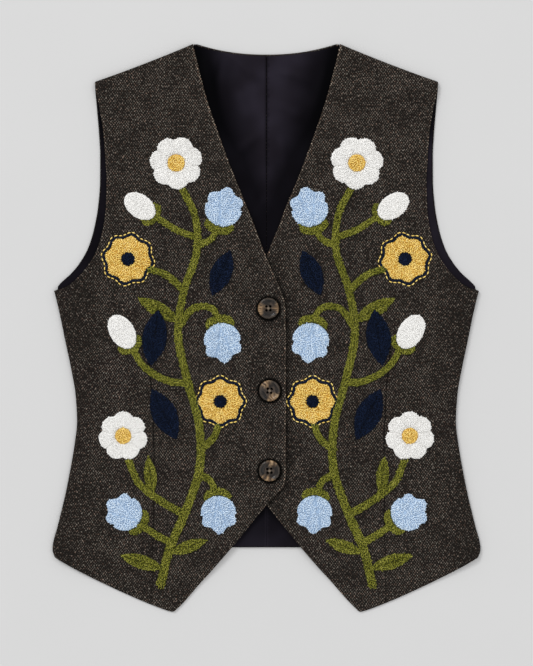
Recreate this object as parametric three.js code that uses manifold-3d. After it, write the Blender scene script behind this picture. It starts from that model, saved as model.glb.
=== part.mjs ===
// A woman's sleeveless tweed waistcoat with looped-pile flower embroidery, laid flat with its front up.
// Millimetres. +Z is up, +Y runs towards the neck, +X is the wearer's left.
// The origin lies on the surface it rests on, in the middle of its outline.
import * as THREE from "three";
import { mergeVertices } from "three/addons/utils/BufferGeometryUtils.js";
import Module from "manifold-3d";

const wasm = await Module();
wasm.setup();

// ---------------------------------------------------------------- sizes
const SEAM_GAP = 0.3; // between two pieces that touch
const TOP_Y = 289.7; // neck point, where the shoulder meets the neckline
const TIP_Y = -289.7; // point of the front hem
const NECK_HALF = 75; // half the width of the neck
const SHOULDER_TIP = { x: 174.5, y: 251.3 };
const UNDERARM_Y = 37.7; // where the armhole meets the side seam
const BACK_NECK_Y = 279; // back neckline at its middle
const BACK_HEM_Y = -224; // back hem at its middle
const BACK_HEM_SIDE_Y = -228; // back hem at the side seams

const BACK_WALL = 1.5; // tweed
const LINING_WALL = 1.0; // satin, laid in the back
const FRONT_WALL = 2.2; // tweed with its own lining behind it
const LINING_Z = BACK_WALL + SEAM_GAP;
const FRONT_Z = LINING_Z + LINING_WALL + SEAM_GAP; // underside of the fronts
const LAP_LIFT = FRONT_WALL + SEAM_GAP; // the right front lies on the left one
const LAP_EASE = 60; // distance over which it comes down again
const BUST_LOFT = 1.3; // fullness that the darts leave over the bust
const SEAM_ROLL = 4; // the fronts roll over at side and shoulder
const SEAM_LEG = 2.2; // and reach down outside the back's edge
const EDGE_RIM = 0.9; // rounding of the turned edges
const HEM_BOW = 4.5; // the front hem sags this much below a straight line
const SHOULDER_BOW = 1; // and the shoulder seam this much
const DART_DEPTH = 0.6;
const DART_HALF = 1.6;
const DART_TOP_Y = -8;

const BUTTON = { across: 21.5, thick: 3.6, rim: 2.6, dish: 1.1, hole: 2.2, pitch: 3.9 };
const BUTTON_ROWS = [
  { name: "button_top", x: 1.9, y: 19.9, turn: 0.03 },
  { name: "button_middle", x: 3.1, y: -63.9, turn: -0.1 },
  { name: "button_bottom", x: 3.0, y: -145.3, turn: 0.07 },
];

// Half-widths of the armhole at each height: back is the edge of the back panel, front that of the front panel.
const ARMHOLE = [
  { y: 251.3, back: 174.5, front: 174.5 },
  { y: 249.4, back: 175.1, front: 174.9 },
  { y: 225, back: 173.2, front: 170.4 },
  { y: 200, back: 171.1, front: 166.3 },
  { y: 175, back: 169.8, front: 164.4 },
  { y: 150, back: 169.9, front: 163.0 },
  { y: 125, back: 171.8, front: 163.6 },
  { y: 100, back: 176.3, front: 166.9 },
  { y: 80, back: 182.8, front: 172.7 },
  { y: 65, back: 191.6, front: 181.0 },
  { y: 55, back: 200.0, front: 189.0 },
  { y: 48, back: 207.8, front: 196.0 },
  { y: 42, back: 213.6, front: 204.5 },
  { y: 37.7, back: 216.7, front: 216.7 },
];
// Half-widths of the side seam, from the underarm over the waist to the hem.
const SIDE = [
  { y: 37.7, x: 216.7 },
  { y: 30, x: 214.7 },
  { y: 10, x: 210.1 },
  { y: -15, x: 205.0 },
  { y: -40, x: 199.7 },
  { y: -70, x: 194.7 },
  { y: -95, x: 193.3 },
  { y: -120, x: 196.0 },
  { y: -145, x: 200.3 },
  { y: -170, x: 205.3 },
  { y: -200, x: 212.5 },
  { y: -226, x: 218.4 },
  { y: -233, x: 216.4 },
];
// Distance of a front's neck, lap and cutaway edge from the centre line, out being positive.
const EDGE = [
  { y: 289.7, x: 75.0 },
  { y: 250, x: 65.4 },
  { y: 210, x: 53.1 },
  { y: 170, x: 38.6 },
  { y: 130, x: 22.6 },
  { y: 100, x: 10.7 },
  { y: 70, x: -1.1 },
  { y: 50, x: -9.1 },
  { y: 35, x: -15.8 },
  { y: 25, x: -19.0 },
  { y: 14, x: -19.9 },
  { y: -145, x: -19.9 },
  { y: -160, x: -18.3 },
  { y: -168, x: -11.6 },
  { y: -175, x: -4.8 },
  { y: -190, x: 7.8 },
  { y: -225, x: 36.1 },
  { y: -260, x: 67.0 },
  { y: -286.4, x: 91.2 },
  { y: -289.0, x: 94.1 },
  { y: -289.6, x: 95.4 },
];
// Line of the bust dart, from its point down to the hem.
const DART = [
  { y: 289.7, x: 128 },
  { y: -8, x: 124.6 },
  { y: -70, x: 119.3 },
  { y: -128, x: 117.2 },
  { y: -185, x: 117.6 },
  { y: -242, x: 119 },
  { y: -289.7, x: 120.6 },
];
// Cross grain of a front: each row runs from edge to side, in so many steps up to the next.
const CROSSINGS = [
  { edge: -289.6, side: -233, steps: 1 },
  { edge: -288.5, side: -231.9, steps: 3 },
  { edge: -258, side: -208, steps: 6 },
  { edge: -178, side: -158, steps: 1 },
  { edge: -168, side: -148, steps: 1 },
  { edge: -158, side: -139, steps: 6 },
  { edge: 12, side: 30, steps: 1 },
  { edge: 16, side: 36.4, steps: 1 },
  { edge: 18, side: 37.7, steps: 1 },
  { edge: 26, side: 41, steps: 1 },
  { edge: 36, side: 47, steps: 1 },
  { edge: 50, side: 55, steps: 1 },
  { edge: 72, side: 68, steps: 3 },
  { edge: 142, side: 126, steps: 5 },
  { edge: 284.3, side: 245.9, steps: 1 },
  { edge: 287.01, side: 248.61, steps: 1 },
  { edge: 287.34, side: 248.94, steps: 1 },
  { edge: 289.7, side: 251.3, steps: 0 },
];

// ---------------------------------------------------------------- embroidery
// Looped pile, mirrored on the two fronts: u runs out from the centre line, y up. Widths and sizes in mm.
const PILE = 2.2;
const STEMS = [
  { path: [[108, -262], [99, -226], [82, -186], [68, -142], [69, -98], [81, -52], [90, -6], [84, 38], [71, 78], [73, 114], [87, 144]], from: 9.5, to: 7.5 },
  { path: [[97, -219], [114, -210], [129, -199]], from: 8, to: 7 },
  { path: [[84, -190], [108, -176], [130, -158], [141, -134]], from: 8.5, to: 7 },
  { path: [[68, -124], [54, -112], [48, -96]], from: 8, to: 7 },
  { path: [[70, -148], [57, -156], [52, -170]], from: 8, to: 6.5 },
  { path: [[80, -56], [100, -54], [124, -40], [138, -18]], from: 8, to: 6.5 },
  { path: [[89, 2], [74, 20], [56, 20], [47, 6]], from: 8, to: 6.5 },
  { path: [[84, 38], [102, 54], [120, 60]], from: 8, to: 7 },
  { path: [[71, 84], [57, 90], [49, 102]], from: 7.5, to: 6.5 },
  { path: [[71, 92], [92, 100], [114, 114]], from: 7.5, to: 6.5 },
];
// Leaves of the vine: u and y are where the foot meets a stem.
const LEAVES = [
  { u: 104, y: -246, long: 48, turn: 18 },
  { u: 99, y: -230, long: 42, turn: 160 },
  { u: 116, y: -172, long: 42, turn: 84 },
  { u: 88, y: 6, long: 50, turn: 30 },
];
// Blossoms and separate leaves: each is one raised patch; a leaf is 2 x wide of its size across.
const PATCHES = [
  { name: "daisy_top", kind: "daisy", u: 92, y: 168, size: 54, turn: 8, slot: "white" },
  { name: "daisy_side", kind: "daisy", u: 146, y: -110, size: 50, turn: -12, slot: "white" },
  { name: "rosette_side", kind: "rosette", u: 141, y: 70, size: 48, turn: 10, slot: "yellow" },
  { name: "rosette_inner", kind: "rosette", u: 47, y: -75, size: 46, turn: 0, slot: "yellow" },
  { name: "tulip_neck", kind: "tulip", u: 44, y: 121, size: 42, turn: 104, slot: "blue" },
  { name: "tulip_waist", kind: "tulip", u: 45, y: -13, size: 42, turn: -98, slot: "blue" },
  { name: "tulip_hem", kind: "tulip", u: 49, y: -188, size: 40, turn: -94, slot: "blue" },
  { name: "tulip_side", kind: "tulip", u: 144, y: -189, size: 40, turn: 34, slot: "blue" },
  { name: "bud_side", kind: "bud", u: 147, y: -4, size: 38, turn: 58, slot: "white" },
  { name: "bud_shoulder", kind: "bud", u: 129, y: 124, size: 36, turn: 36, slot: "white" },
  { name: "leaf_bust", kind: "leaf", u: 114, y: -10, size: 58, turn: 98, wide: 0.22, slot: "navy" },
  { name: "leaf_waist", kind: "leaf", u: 104, y: -88, size: 58, turn: 64, wide: 0.22, slot: "navy" },
  { name: "leaf_chest", kind: "leaf", u: 46, y: 56, size: 50, turn: 112, wide: 0.22, slot: "navy" },
];

// ---------------------------------------------------------------- materials
const cloth = (color, roughness = 0.9) => () =>
  new THREE.MeshStandardMaterial({ color, roughness, metalness: 0, side: THREE.FrontSide });
const MATERIAL = {
  tweed: cloth(0x332f2b),
  lining: cloth(0x1a1921, 0.5),
  horn: cloth(0x3a2e25, 0.3),
  green: cloth(0x606028),
  blue: cloth(0xa7bdd5),
  white: cloth(0xe4e2de),
  yellow: cloth(0xd6af5c),
  navy: cloth(0x121825),
};

// ---------------------------------------------------------------- small mathematics
const clamp = (v, lo, hi) => Math.min(hi, Math.max(lo, v));
const smooth = (t) => ((t = clamp(t, 0, 1)), t * t * (3 - 2 * t));

// A curve through a table's rows that never overshoots them (Fritsch-Carlson).
function through(table, from, to) {
  const rows = [...table].sort((a, b) => a[from] - b[from]);
  const x = rows.map((r) => r[from]), v = rows.map((r) => r[to]), n = x.length;
  const h = [], s = [], m = [];
  for (let i = 0; i < n - 1; i++) (h[i] = x[i + 1] - x[i]), (s[i] = (v[i + 1] - v[i]) / h[i]);
  m[0] = s[0];
  m[n - 1] = s[n - 2];
  for (let i = 1; i < n - 1; i++) {
    const w1 = 2 * h[i] + h[i - 1], w2 = h[i] + 2 * h[i - 1];
    m[i] = s[i - 1] * s[i] <= 0 ? 0 : (w1 + w2) / (w1 / s[i - 1] + w2 / s[i]);
  }
  return (at) => {
    at = clamp(at, x[0], x[n - 1]);
    let i = 0;
    while (i < n - 2 && at > x[i + 1]) i++;
    const t = (at - x[i]) / h[i];
    return (
      v[i] * (1 + 2 * t) * (1 - t) ** 2 + h[i] * m[i] * t * (1 - t) ** 2 +
      v[i + 1] * t * t * (3 - 2 * t) + h[i] * m[i + 1] * t * t * (t - 1)
    );
  };
}
const backArm = through(ARMHOLE, "y", "back");
const frontArm = through(ARMHOLE, "y", "front");
const sideSeam = through(SIDE, "y", "x");
const edgeOf = through(EDGE, "y", "x");
const dartOf = through(DART, "y", "x");
const outerOf = (y) => (y > UNDERARM_Y ? frontArm(y) : sideSeam(y));

// ---------------------------------------------------------------- the lie of the fronts
// Height of a front's underside at u out from the centre line; the lap lifts only the right one.
function underside(u, y, isUpper) {
  const laid = FRONT_Z * smooth((y - BACK_HEM_SIDE_Y + 41) / 39);
  const loft = BUST_LOFT * Math.exp(-(((u - 112) / 60) ** 2) - ((y - 25) / 95) ** 2) * smooth((u - 40) / 40);
  const over = smooth((20 + LAP_EASE - u) / LAP_EASE) * smooth((y + 185 + LAP_EASE) / LAP_EASE) * smooth((92 + LAP_EASE - y) / LAP_EASE);
  const lap = isUpper ? LAP_LIFT * over : 0;
  return laid + loft + lap;
}
const faceOf = (u, y, isUpper) => underside(u, y, isUpper) + FRONT_WALL;

// ---------------------------------------------------------------- meshes from grids
function bodyFrom(points, faces) {
  const g = new THREE.BufferGeometry();
  g.setAttribute("position", new THREE.Float32BufferAttribute(points.flat(), 3));
  g.setIndex(faces.flat());
  const flat = g.toNonIndexed();
  flat.computeVertexNormals();
  return flat;
}
function volumeOf(points, faces) {
  let v = 0;
  for (const [a, b, c] of faces) {
    const p = points[a], q = points[b], r = points[c];
    v += p[0] * (q[1] * r[2] - q[2] * r[1]) - p[1] * (q[0] * r[2] - q[2] * r[0]) + p[2] * (q[0] * r[1] - q[1] * r[0]);
  }
  return v / 6;
}
const outward = (points, faces) =>
  bodyFrom(points, volumeOf(points, faces) < 0 ? faces.map(([a, b, c]) => [a, c, b]) : faces);

// A closed wall between an upper and a lower grid of the same rows and columns.
function wallBetween(upper, lower) {
  const rows = upper.length, cols = upper[0].length, size = rows * cols;
  const points = [...upper.flat(), ...lower.flat()];
  const at = (r, c) => r * cols + c, faces = [];
  const quad = (a, b, c, d) => faces.push([a, b, c], [a, c, d]);
  for (let r = 0; r < rows - 1; r++)
    for (let c = 0; c < cols - 1; c++) {
      quad(at(r, c), at(r, c + 1), at(r + 1, c + 1), at(r + 1, c));
      quad(size + at(r, c), size + at(r + 1, c), size + at(r + 1, c + 1), size + at(r, c + 1));
    }
  for (let r = 0; r < rows - 1; r++) {
    quad(at(r, 0), at(r + 1, 0), size + at(r + 1, 0), size + at(r, 0));
    quad(at(r + 1, cols - 1), at(r, cols - 1), size + at(r, cols - 1), size + at(r + 1, cols - 1));
  }
  for (let c = 0; c < cols - 1; c++) {
    quad(at(0, c + 1), at(0, c), size + at(0, c), size + at(0, c + 1));
    quad(at(rows - 1, c), at(rows - 1, c + 1), size + at(rows - 1, c + 1), size + at(rows - 1, c));
  }
  return outward(points, faces);
}

// ---------------------------------------------------------------- rows of a front panel
const crossings = [];
CROSSINGS.forEach((row, i) => {
  const next = CROSSINGS[i + 1];
  for (let k = 0; k < (next ? row.steps : 1); k++) {
    const t = next ? k / row.steps : 0;
    crossings.push({
      edge: next ? row.edge + (next.edge - row.edge) * t : row.edge,
      side: next ? row.side + (next.side - row.side) * t : row.side,
    });
  }
});

// Height, up the page, of a row where it is x out from the centre line.
function alongRow(row, x) {
  const edge = edgeOf(row.edge), outer = outerOf(row.side), t = (x - edge) / (outer - edge);
  const arch = Math.max(0, 4 * t * (1 - t));
  const hem = HEM_BOW * arch ** 0.6 * smooth((-150 - row.side) / 83);
  return row.edge + (row.side - row.edge) * t - hem - SHOULDER_BOW * arch * smooth((row.side - 200) / 48);
}

function columnsOf(edge, outer, dart) {
  const list = [0, EDGE_RIM, SEAM_LEG, SEAM_LEG + SEAM_GAP, 5].map((d) => outer - d);
  const between = (a, b, n) => Array.from({ length: n }, (_, i) => a + ((b - a) * (i + 1)) / (n + 1));
  list.push(...between(outer - 5, dart + DART_HALF, 2), dart + DART_HALF, dart, dart - DART_HALF);
  list.push(...between(dart - DART_HALF, edge + EDGE_RIM, 5), edge + EDGE_RIM, edge);
  return list;
}

function frontPanel(sign) {
  const isUpper = sign < 0, upper = [], lower = [], last = crossings.length - 1;
  crossings.forEach((row, r) => {
    const edge = edgeOf(row.edge), outer = outerOf(row.side);
    const mid = (row.edge + row.side) / 2;
    const fromShoulder = (SHOULDER_TIP.y - row.side) / 1.075;
    const seamSide = row.side <= 36.5;
    const rolled = 1 - smooth((row.side - 36) / 20);
    const up = [], low = [];
    columnsOf(edge, outer, clamp(dartOf(mid), edge + 12, outer - 20)).forEach((x) => {
      const y = alongRow(row, x);
      const inSide = outer - x, inEdge = x - edge;
      let under = underside(x, y, isUpper), top = under + FRONT_WALL;
      const roll = (d) => (d < SEAM_ROLL ? 1 - Math.sqrt(1 - (1 - d / SEAM_ROLL) ** 2) : 0);
      const drop = Math.max(roll(inSide) * rolled, roll(fromShoulder));
      top -= drop * (top - BACK_WALL - 0.6);
      const leg = (seamSide && inSide <= SEAM_LEG + 1e-6) || fromShoulder <= SEAM_LEG + 1e-6;
      if (leg) under = SEAM_GAP;
      const free = Math.min(inEdge, seamSide ? 99 : inSide, r === 0 ? 0 : 99);
      if (free < 1e-6 && !leg) (top -= 0.7), (under += 0.5);
      if (Math.abs(x - dartOf(mid)) < 1e-6) top -= DART_DEPTH * smooth((DART_TOP_Y - y) / 25);
      up.push([sign * x, y, top]);
      low.push([sign * x, y, under]);
    });
    upper.push(up);
    lower.push(low);
  });
  return wallBetween(upper, lower);
}

// ---------------------------------------------------------------- back and its lining
// Right half of the back's outline from the middle of the neck round to the middle of the hem, drawn in by a margin.
function backHalf(trim) {
  const points = [];
  for (const x of [0, 14, 28, 40, 50, 59, 66, 70.8])
    points.push([x, BACK_NECK_Y + 12 * (x / NECK_HALF) ** 2.15 - trim.neck]);
  points.push([73.4, TOP_Y - 0.3 - trim.neck]);
  const seam = crossings[crossings.length - 3];
  const across = columnsOf(74, SHOULDER_TIP.x + 0.6 - trim.arm, dartOf(seam.side)).filter((x, i) => i < 1 || i > 3).reverse();
  for (const x of across) points.push([x, alongRow(seam, x) - trim.shoulder - trim.neck]);
  for (const y of [240, 225, 200, 175, 150, 125, 100, 88, 78, 70, 62, 55, 48, 42])
    points.push([backArm(y) - Math.max(trim.arm, trim.side * (1 - smooth((y - 38.5) / 5))), y]);
  for (const row of [...crossings].reverse())
    if (row.side <= UNDERARM_Y && row.side > BACK_HEM_SIDE_Y + 6) {
      const x = sideSeam(row.side) - trim.side;
      points.push([x, alongRow(row, x)]);
    }
  points.push([sideSeam(BACK_HEM_SIDE_Y) - trim.side - 0.4, BACK_HEM_SIDE_Y + trim.hem]);
  for (const x of [160, 100, 50, 0]) points.push([x, BACK_HEM_Y + (BACK_HEM_SIDE_Y - BACK_HEM_Y) * (x / 218) ** 2 + trim.hem]);
  return points;
}
function slab(outline, bottom, thick) {
  const shape = new THREE.Shape(outline.map(([x, y]) => new THREE.Vector2(x, y)));
  const g = new THREE.ExtrudeGeometry(shape, { depth: thick, bevelEnabled: false, curveSegments: 1 });
  g.translate(0, 0, bottom);
  return g;
}
function backPanel() {
  const half = backHalf({ neck: 0, shoulder: 0.12, arm: 0, side: SEAM_LEG + SEAM_GAP, hem: 0 });
  const other = half.slice(1, -1).map(([x, y]) => [-x, y]).reverse();
  return slab([...half, ...other], 0, BACK_WALL);
}
function liningHalf(sign) {
  const half = backHalf({ neck: 1.6, shoulder: 0.3, arm: 1.2, side: SEAM_LEG + SEAM_GAP + 0.3, hem: 0.9 });
  const cut = half.map(([x, y], i) => [sign * (i === 0 || i === half.length - 1 ? SEAM_GAP / 2 : x), y]);
  return slab(sign < 0 ? cut.reverse() : cut, LINING_Z, LINING_WALL);
}

// ---------------------------------------------------------------- buttons
function asSolid(geometry) {
  const g = geometry.clone();
  g.deleteAttribute("normal");
  g.deleteAttribute("uv");
  const m = mergeVertices(g, 1e-4);
  return new wasm.Manifold(
    new wasm.Mesh({ numProp: 3, vertProperties: new Float32Array(m.attributes.position.array), triVerts: new Uint32Array(m.index.array) }),
  );
}
function asGeometry(solid) {
  const m = solid.getMesh();
  const g = new THREE.BufferGeometry();
  const v = new Float32Array(m.numVert * 3);
  for (let i = 0; i < m.numVert; i++) v.set(m.vertProperties.subarray(i * m.numProp, i * m.numProp + 3), i * 3);
  g.setAttribute("position", new THREE.BufferAttribute(v, 3));
  g.setIndex(new THREE.BufferAttribute(new Uint32Array(m.triVerts), 1));
  const flat = g.toNonIndexed();
  flat.computeVertexNormals();
  return flat;
}
function buttonBody() {
  const R = BUTTON.across / 2, T = BUTTON.thick;
  const profile = [
    [0, 0], [R - 2.2, 0], [R - 0.5, 0.9], [R, 1.9], [R - 0.5, 3.0], [R - 1.3, T],
    [R - BUTTON.rim, T - 0.2], [R - BUTTON.rim - 1.1, T - BUTTON.dish], [0, T - BUTTON.dish],
  ].map(([r, z]) => new THREE.Vector2(r, z));
  const disc = new THREE.LatheGeometry(profile, 20).rotateX(Math.PI / 2);
  let solid = asSolid(disc);
  for (const [sx, sy] of [[-1, -1], [1, -1], [1, 1], [-1, 1]]) {
    const hole = new THREE.CylinderGeometry(BUTTON.hole / 2, BUTTON.hole / 2, 3 * T, 6).rotateX(Math.PI / 2);
    hole.translate((sx * BUTTON.pitch) / 2, (sy * BUTTON.pitch) / 2, 0);
    solid = solid.subtract(asSolid(hole));
  }
  return asGeometry(solid);
}

// ---------------------------------------------------------------- raised embroidery
// A ribbon along a curve, half-round on top, its foot on the face of the front.
function ribbon(row, sign) {
  const curve = new THREE.CatmullRomCurve3(row.path.map(([u, y]) => new THREE.Vector3(u, y, 0)), false, "centripetal");
  const n = Math.max(4, Math.round(curve.getLength() / 17));
  const upper = [], lower = [];
  for (let i = 0; i <= n; i++) {
    const p = curve.getPointAt(i / n), d = curve.getTangentAt(i / n);
    const half = (row.from + (row.to - row.from) * (i / n)) / 2;
    const up = [], low = [];
    for (const s of [-1, 0, 1]) {
      const u = p.x - d.y * half * s, y = p.y + d.x * half * s, z = faceOf(u, y, sign < 0) + SEAM_GAP;
      up.push([sign * u, y, z + PILE * (Math.abs(s) > 0.9 ? 0.45 : 1)]);
      low.push([sign * u, y, z]);
    }
    upper.push(up);
    lower.push(low);
  }
  return wallBetween(upper, lower);
}

// Outlines of the motifs: radius at each angle from the motif's own axis, as a share of its size.
const lobes = (a, count) => Math.abs(Math.cos((count / 2) * a)) ** 0.6;
const ellipse = (a, long, wide) => 0.5 / Math.sqrt((Math.cos(a) / long) ** 2 + (Math.sin(a) / wide) ** 2);
const OUTLINE = {
  daisy: (a) => 0.5 * (0.84 + 0.16 * lobes(a, 7)),
  rosette: (a) => 0.5 * (0.94 + 0.06 * Math.cos(8 * a)),
  tulip: (a) => {
    const t = Math.atan2(Math.sin(a), Math.cos(a));
    return ellipse(a, Math.cos(a) > 0 ? 1 : 0.86, 0.9) * (Math.abs(t) < 1.43 ? 1 + 0.1 * Math.cos(6.545 * t) : 1);
  },
  bud: (a) => ellipse(a, 1, 0.66),
  leaf: (a, w) => {
    const c2 = Math.cos(a) ** 2, s = Math.abs(Math.sin(a));
    return c2 < 1e-6 ? w : (Math.sqrt(s * s + 16 * w * w * c2) - s) / (8 * w * c2);
  },
};
function outlineOf(row, sign, grow = 0, count = { daisy: 28, tulip: 24 }[row.kind] ?? 18) {
  const turn = THREE.MathUtils.degToRad(row.turn);
  return Array.from({ length: count }, (_, i) => {
    const a = (2 * Math.PI * i) / count;
    const r = OUTLINE[row.kind](a, row.wide ?? 0.155) * row.size + grow;
    return [sign * (row.u + r * Math.cos(a + turn)), row.y + r * Math.sin(a + turn)];
  });
}
function patch(row, sign, count = undefined) {
  const ring = outlineOf(row, sign, 0, count), n = ring.length, c = [sign * row.u, row.y];
  const z = (x, y) => faceOf(Math.abs(x), y, sign < 0) + SEAM_GAP;
  const scaled = (k, lift) => ring.map(([x, y]) => {
    const px = c[0] + (x - c[0]) * k, py = c[1] + (y - c[1]) * k;
    return [px, py, z(px, py) + lift];
  });
  const rings = [scaled(1, 0), scaled(1, PILE * 0.5), scaled(0.84, PILE)];
  if (row.size > 30) rings.unshift(scaled(0.5, 0));
  const points = [...rings.flat(), [...c, z(...c)], [...c, z(...c) + PILE]], faces = [];
  for (let i = 0; i < n; i++) {
    const j = (i + 1) % n;
    faces.push([i, rings.length * n, j]);
    for (let k = 0; k < rings.length - 1; k++)
      faces.push([k * n + i, k * n + j, (k + 1) * n + j], [k * n + i, (k + 1) * n + j, (k + 1) * n + i]);
    faces.push([(rings.length - 1) * n + i, (rings.length - 1) * n + j, rings.length * n + 1]);
  }
  return outward(points, faces);
}
function leafBlade(row, sign) {
  const t = THREE.MathUtils.degToRad(row.turn), half = row.long / 2;
  return patch({ kind: "leaf", u: row.u + half * Math.cos(t), y: row.y + half * Math.sin(t), size: row.long, turn: row.turn }, sign, 12);
}
// Everything green on one front grows together; the blossoms are let into it.
function vine(sign) {
  let solid = null;
  const add = (g) => (solid = solid ? solid.add(asSolid(g)) : asSolid(g));
  STEMS.forEach((row) => add(ribbon(row, sign)));
  LEAVES.forEach((row) => add(leafBlade(row, sign)));
  PATCHES.filter((row) => row.kind === "tulip" || row.kind === "bud").forEach((row) => {
    const t = THREE.MathUtils.degToRad(row.turn), back = row.size * 0.4;
    const cup = { kind: "bud", u: row.u - back * Math.cos(t), y: row.y - back * Math.sin(t), size: row.size * 0.72, turn: row.turn + 90 };
    add(patch(cup, sign, 10));
  });
  for (const row of PATCHES) solid = solid.subtract(asSolid(slab(outlineOf(row, sign, 0.4), -1, 30)));
  return asGeometry(solid);
}

// ---------------------------------------------------------------- assembly
const garment = new THREE.Group();
function put(parent, name, geometry, material) {
  const mesh = new THREE.Mesh(geometry, MATERIAL[material]());
  mesh.name = name;
  parent.add(mesh);
  return mesh;
}
put(garment, "back", backPanel(), "tweed");
put(garment, "lining_right", liningHalf(-1), "lining");
put(garment, "lining_left", liningHalf(1), "lining");
for (const [side, sign] of [["right", -1], ["left", 1]]) {
  const half = new THREE.Group();
  put(half, "front_" + side, frontPanel(sign), "tweed");
  put(half, "vine_" + side, vine(sign), "green");
  for (const row of PATCHES) put(half, row.name + "_" + side, patch(row, sign), row.slot);
  garment.add(half);
}
for (const row of BUTTON_ROWS) {
  const mesh = put(garment, row.name, buttonBody(), "horn");
  mesh.position.set(row.x, row.y, faceOf(-row.x, row.y, true) + SEAM_GAP);
  mesh.rotation.z = row.turn;
}
export default garment;
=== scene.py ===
"""A woman's tweed waistcoat with looped-pile flower embroidery, laid flat with its front up."""
import math

import bmesh
import bpy
import numpy as np
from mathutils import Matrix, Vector, geometry


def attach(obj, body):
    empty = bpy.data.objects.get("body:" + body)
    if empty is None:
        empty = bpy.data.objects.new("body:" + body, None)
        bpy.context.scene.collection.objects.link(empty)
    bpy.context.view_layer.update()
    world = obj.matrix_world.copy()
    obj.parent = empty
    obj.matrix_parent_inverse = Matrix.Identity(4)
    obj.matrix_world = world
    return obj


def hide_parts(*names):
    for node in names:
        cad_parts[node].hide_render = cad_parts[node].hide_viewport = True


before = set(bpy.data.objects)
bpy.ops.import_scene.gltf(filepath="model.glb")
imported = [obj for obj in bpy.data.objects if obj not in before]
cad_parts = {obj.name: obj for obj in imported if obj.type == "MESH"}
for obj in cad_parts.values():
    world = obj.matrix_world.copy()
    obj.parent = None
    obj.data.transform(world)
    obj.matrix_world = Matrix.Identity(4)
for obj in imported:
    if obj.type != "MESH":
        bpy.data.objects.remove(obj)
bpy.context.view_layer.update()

MM = 0.001
rng = np.random.default_rng(20)

# ================================================================ sizes, as on the pattern (mm)
SEAM_GAP = 0.3
TOP_Y, TIP_Y = 289.7, -289.7
NECK_HALF = 75.0
SHOULDER_Y = 251.3
SHOULDER_X = 174.5
UNDERARM_Y = 37.7
BACK_NECK_Y = 279.0
BACK_HEM_Y, BACK_HEM_SIDE_Y = -224.0, -228.0
BACK_WALL, LINING_WALL, FRONT_WALL = 1.5, 1.0, 2.2
LINING_Z = BACK_WALL + SEAM_GAP
FRONT_Z = LINING_Z + LINING_WALL + SEAM_GAP
LAP_LIFT = FRONT_WALL + SEAM_GAP
LAP_EASE = 60.0
BUST_LOFT = 1.3
SEAM_ROLL, SEAM_LEG = 4.0, 2.2
RIM = 1.1
HEM_BOW, SHOULDER_BOW = 4.5, 1.0
DART_TOP_Y = -8.0
# name, x, y, turn, the way the amber lies in the horn
BUTTONS = [("button_top", 1.9, 19.9, 0.03, 0.05), ("button_middle", 3.1, -63.9, -0.1, 2.19), ("button_bottom", 3.0, -145.3, 0.07, 1.2)]

# y, back, front: half-widths of the armhole
ARMHOLE = [
    (251.3, 174.5, 174.5), (249.4, 175.1, 174.9), (225, 173.2, 170.4), (200, 171.1, 166.3), (175, 169.8, 164.4), (150, 169.9, 163.0),
    (125, 171.8, 163.6), (100, 176.3, 166.9), (80, 182.8, 172.7), (65, 191.6, 181.0), (55, 200.0, 189.0),
    (48, 207.8, 196.0), (42, 213.6, 204.5), (37.7, 216.7, 216.7),
]
# y, half-width of the side seam
SIDE = [
    (37.7, 216.7), (30, 214.7), (10, 210.1), (-15, 205.0), (-40, 199.7), (-70, 194.7), (-95, 193.3), (-120, 196.0),
    (-145, 200.3), (-170, 205.3), (-200, 212.5), (-226, 218.4), (-233, 216.4),
]
# y, distance of the neck, lap and cutaway edge from the centre line
EDGE = [
    (289.7, 75.0), (250, 65.4), (210, 53.1), (170, 38.6), (130, 22.6), (100, 10.7), (70, -1.1), (50, -9.1),
    (35, -15.8), (25, -19.0), (14, -19.9), (-145, -19.9), (-160, -18.3), (-168, -11.6), (-175, -4.8), (-190, 7.8),
    (-225, 36.1), (-260, 67.0), (-286.4, 91.2), (-289.0, 94.1), (-289.6, 95.4),
]
DART = [(289.7, 128), (-8, 124.6), (-70, 119.3), (-128, 117.2), (-185, 117.6), (-242, 119), (-289.7, 120.6)]
# edge y, side y: rows of the front panels from hem to shoulder
CROSSINGS = [
    (-289.6, -233), (-288.5, -231.9), (-258, -208), (-178, -158), (-168, -148), (-158, -139), (12, 30), (16, 36.4),
    (18, 37.7), (26, 41), (36, 47), (50, 55), (72, 68), (142, 126), (284.3, 245.9), (287.01, 248.61), (287.34, 248.94),
    (289.7, 251.3),
]

PILE = 2.2
# path (u, y), width at its start, width at its end
STEMS = [
    ([(108, -262), (99, -226), (82, -186), (68, -142), (69, -98), (81, -52), (90, -6), (84, 38), (71, 78), (73, 114), (87, 144)], 9.5, 7.5),
    ([(97, -219), (114, -210), (129, -199)], 8, 7),
    ([(84, -190), (108, -176), (130, -158), (141, -134)], 8.5, 7),
    ([(68, -124), (54, -112), (48, -96)], 8, 7),
    ([(70, -148), (57, -156), (52, -170)], 8, 6.5),
    ([(80, -56), (100, -54), (124, -40), (138, -18)], 8, 6.5),
    ([(89, 2), (74, 20), (56, 20), (47, 6)], 8, 6.5),
    ([(84, 38), (102, 54), (120, 60)], 8, 7),
    ([(71, 84), (57, 90), (49, 102)], 7.5, 6.5),
    ([(71, 92), (92, 100), (114, 114)], 7.5, 6.5),
]
# foot u, foot y, length, turn
LEAVES = [(104, -246, 48, 18), (99, -230, 42, 160), (116, -172, 42, 84), (88, 6, 50, 30)]
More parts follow.
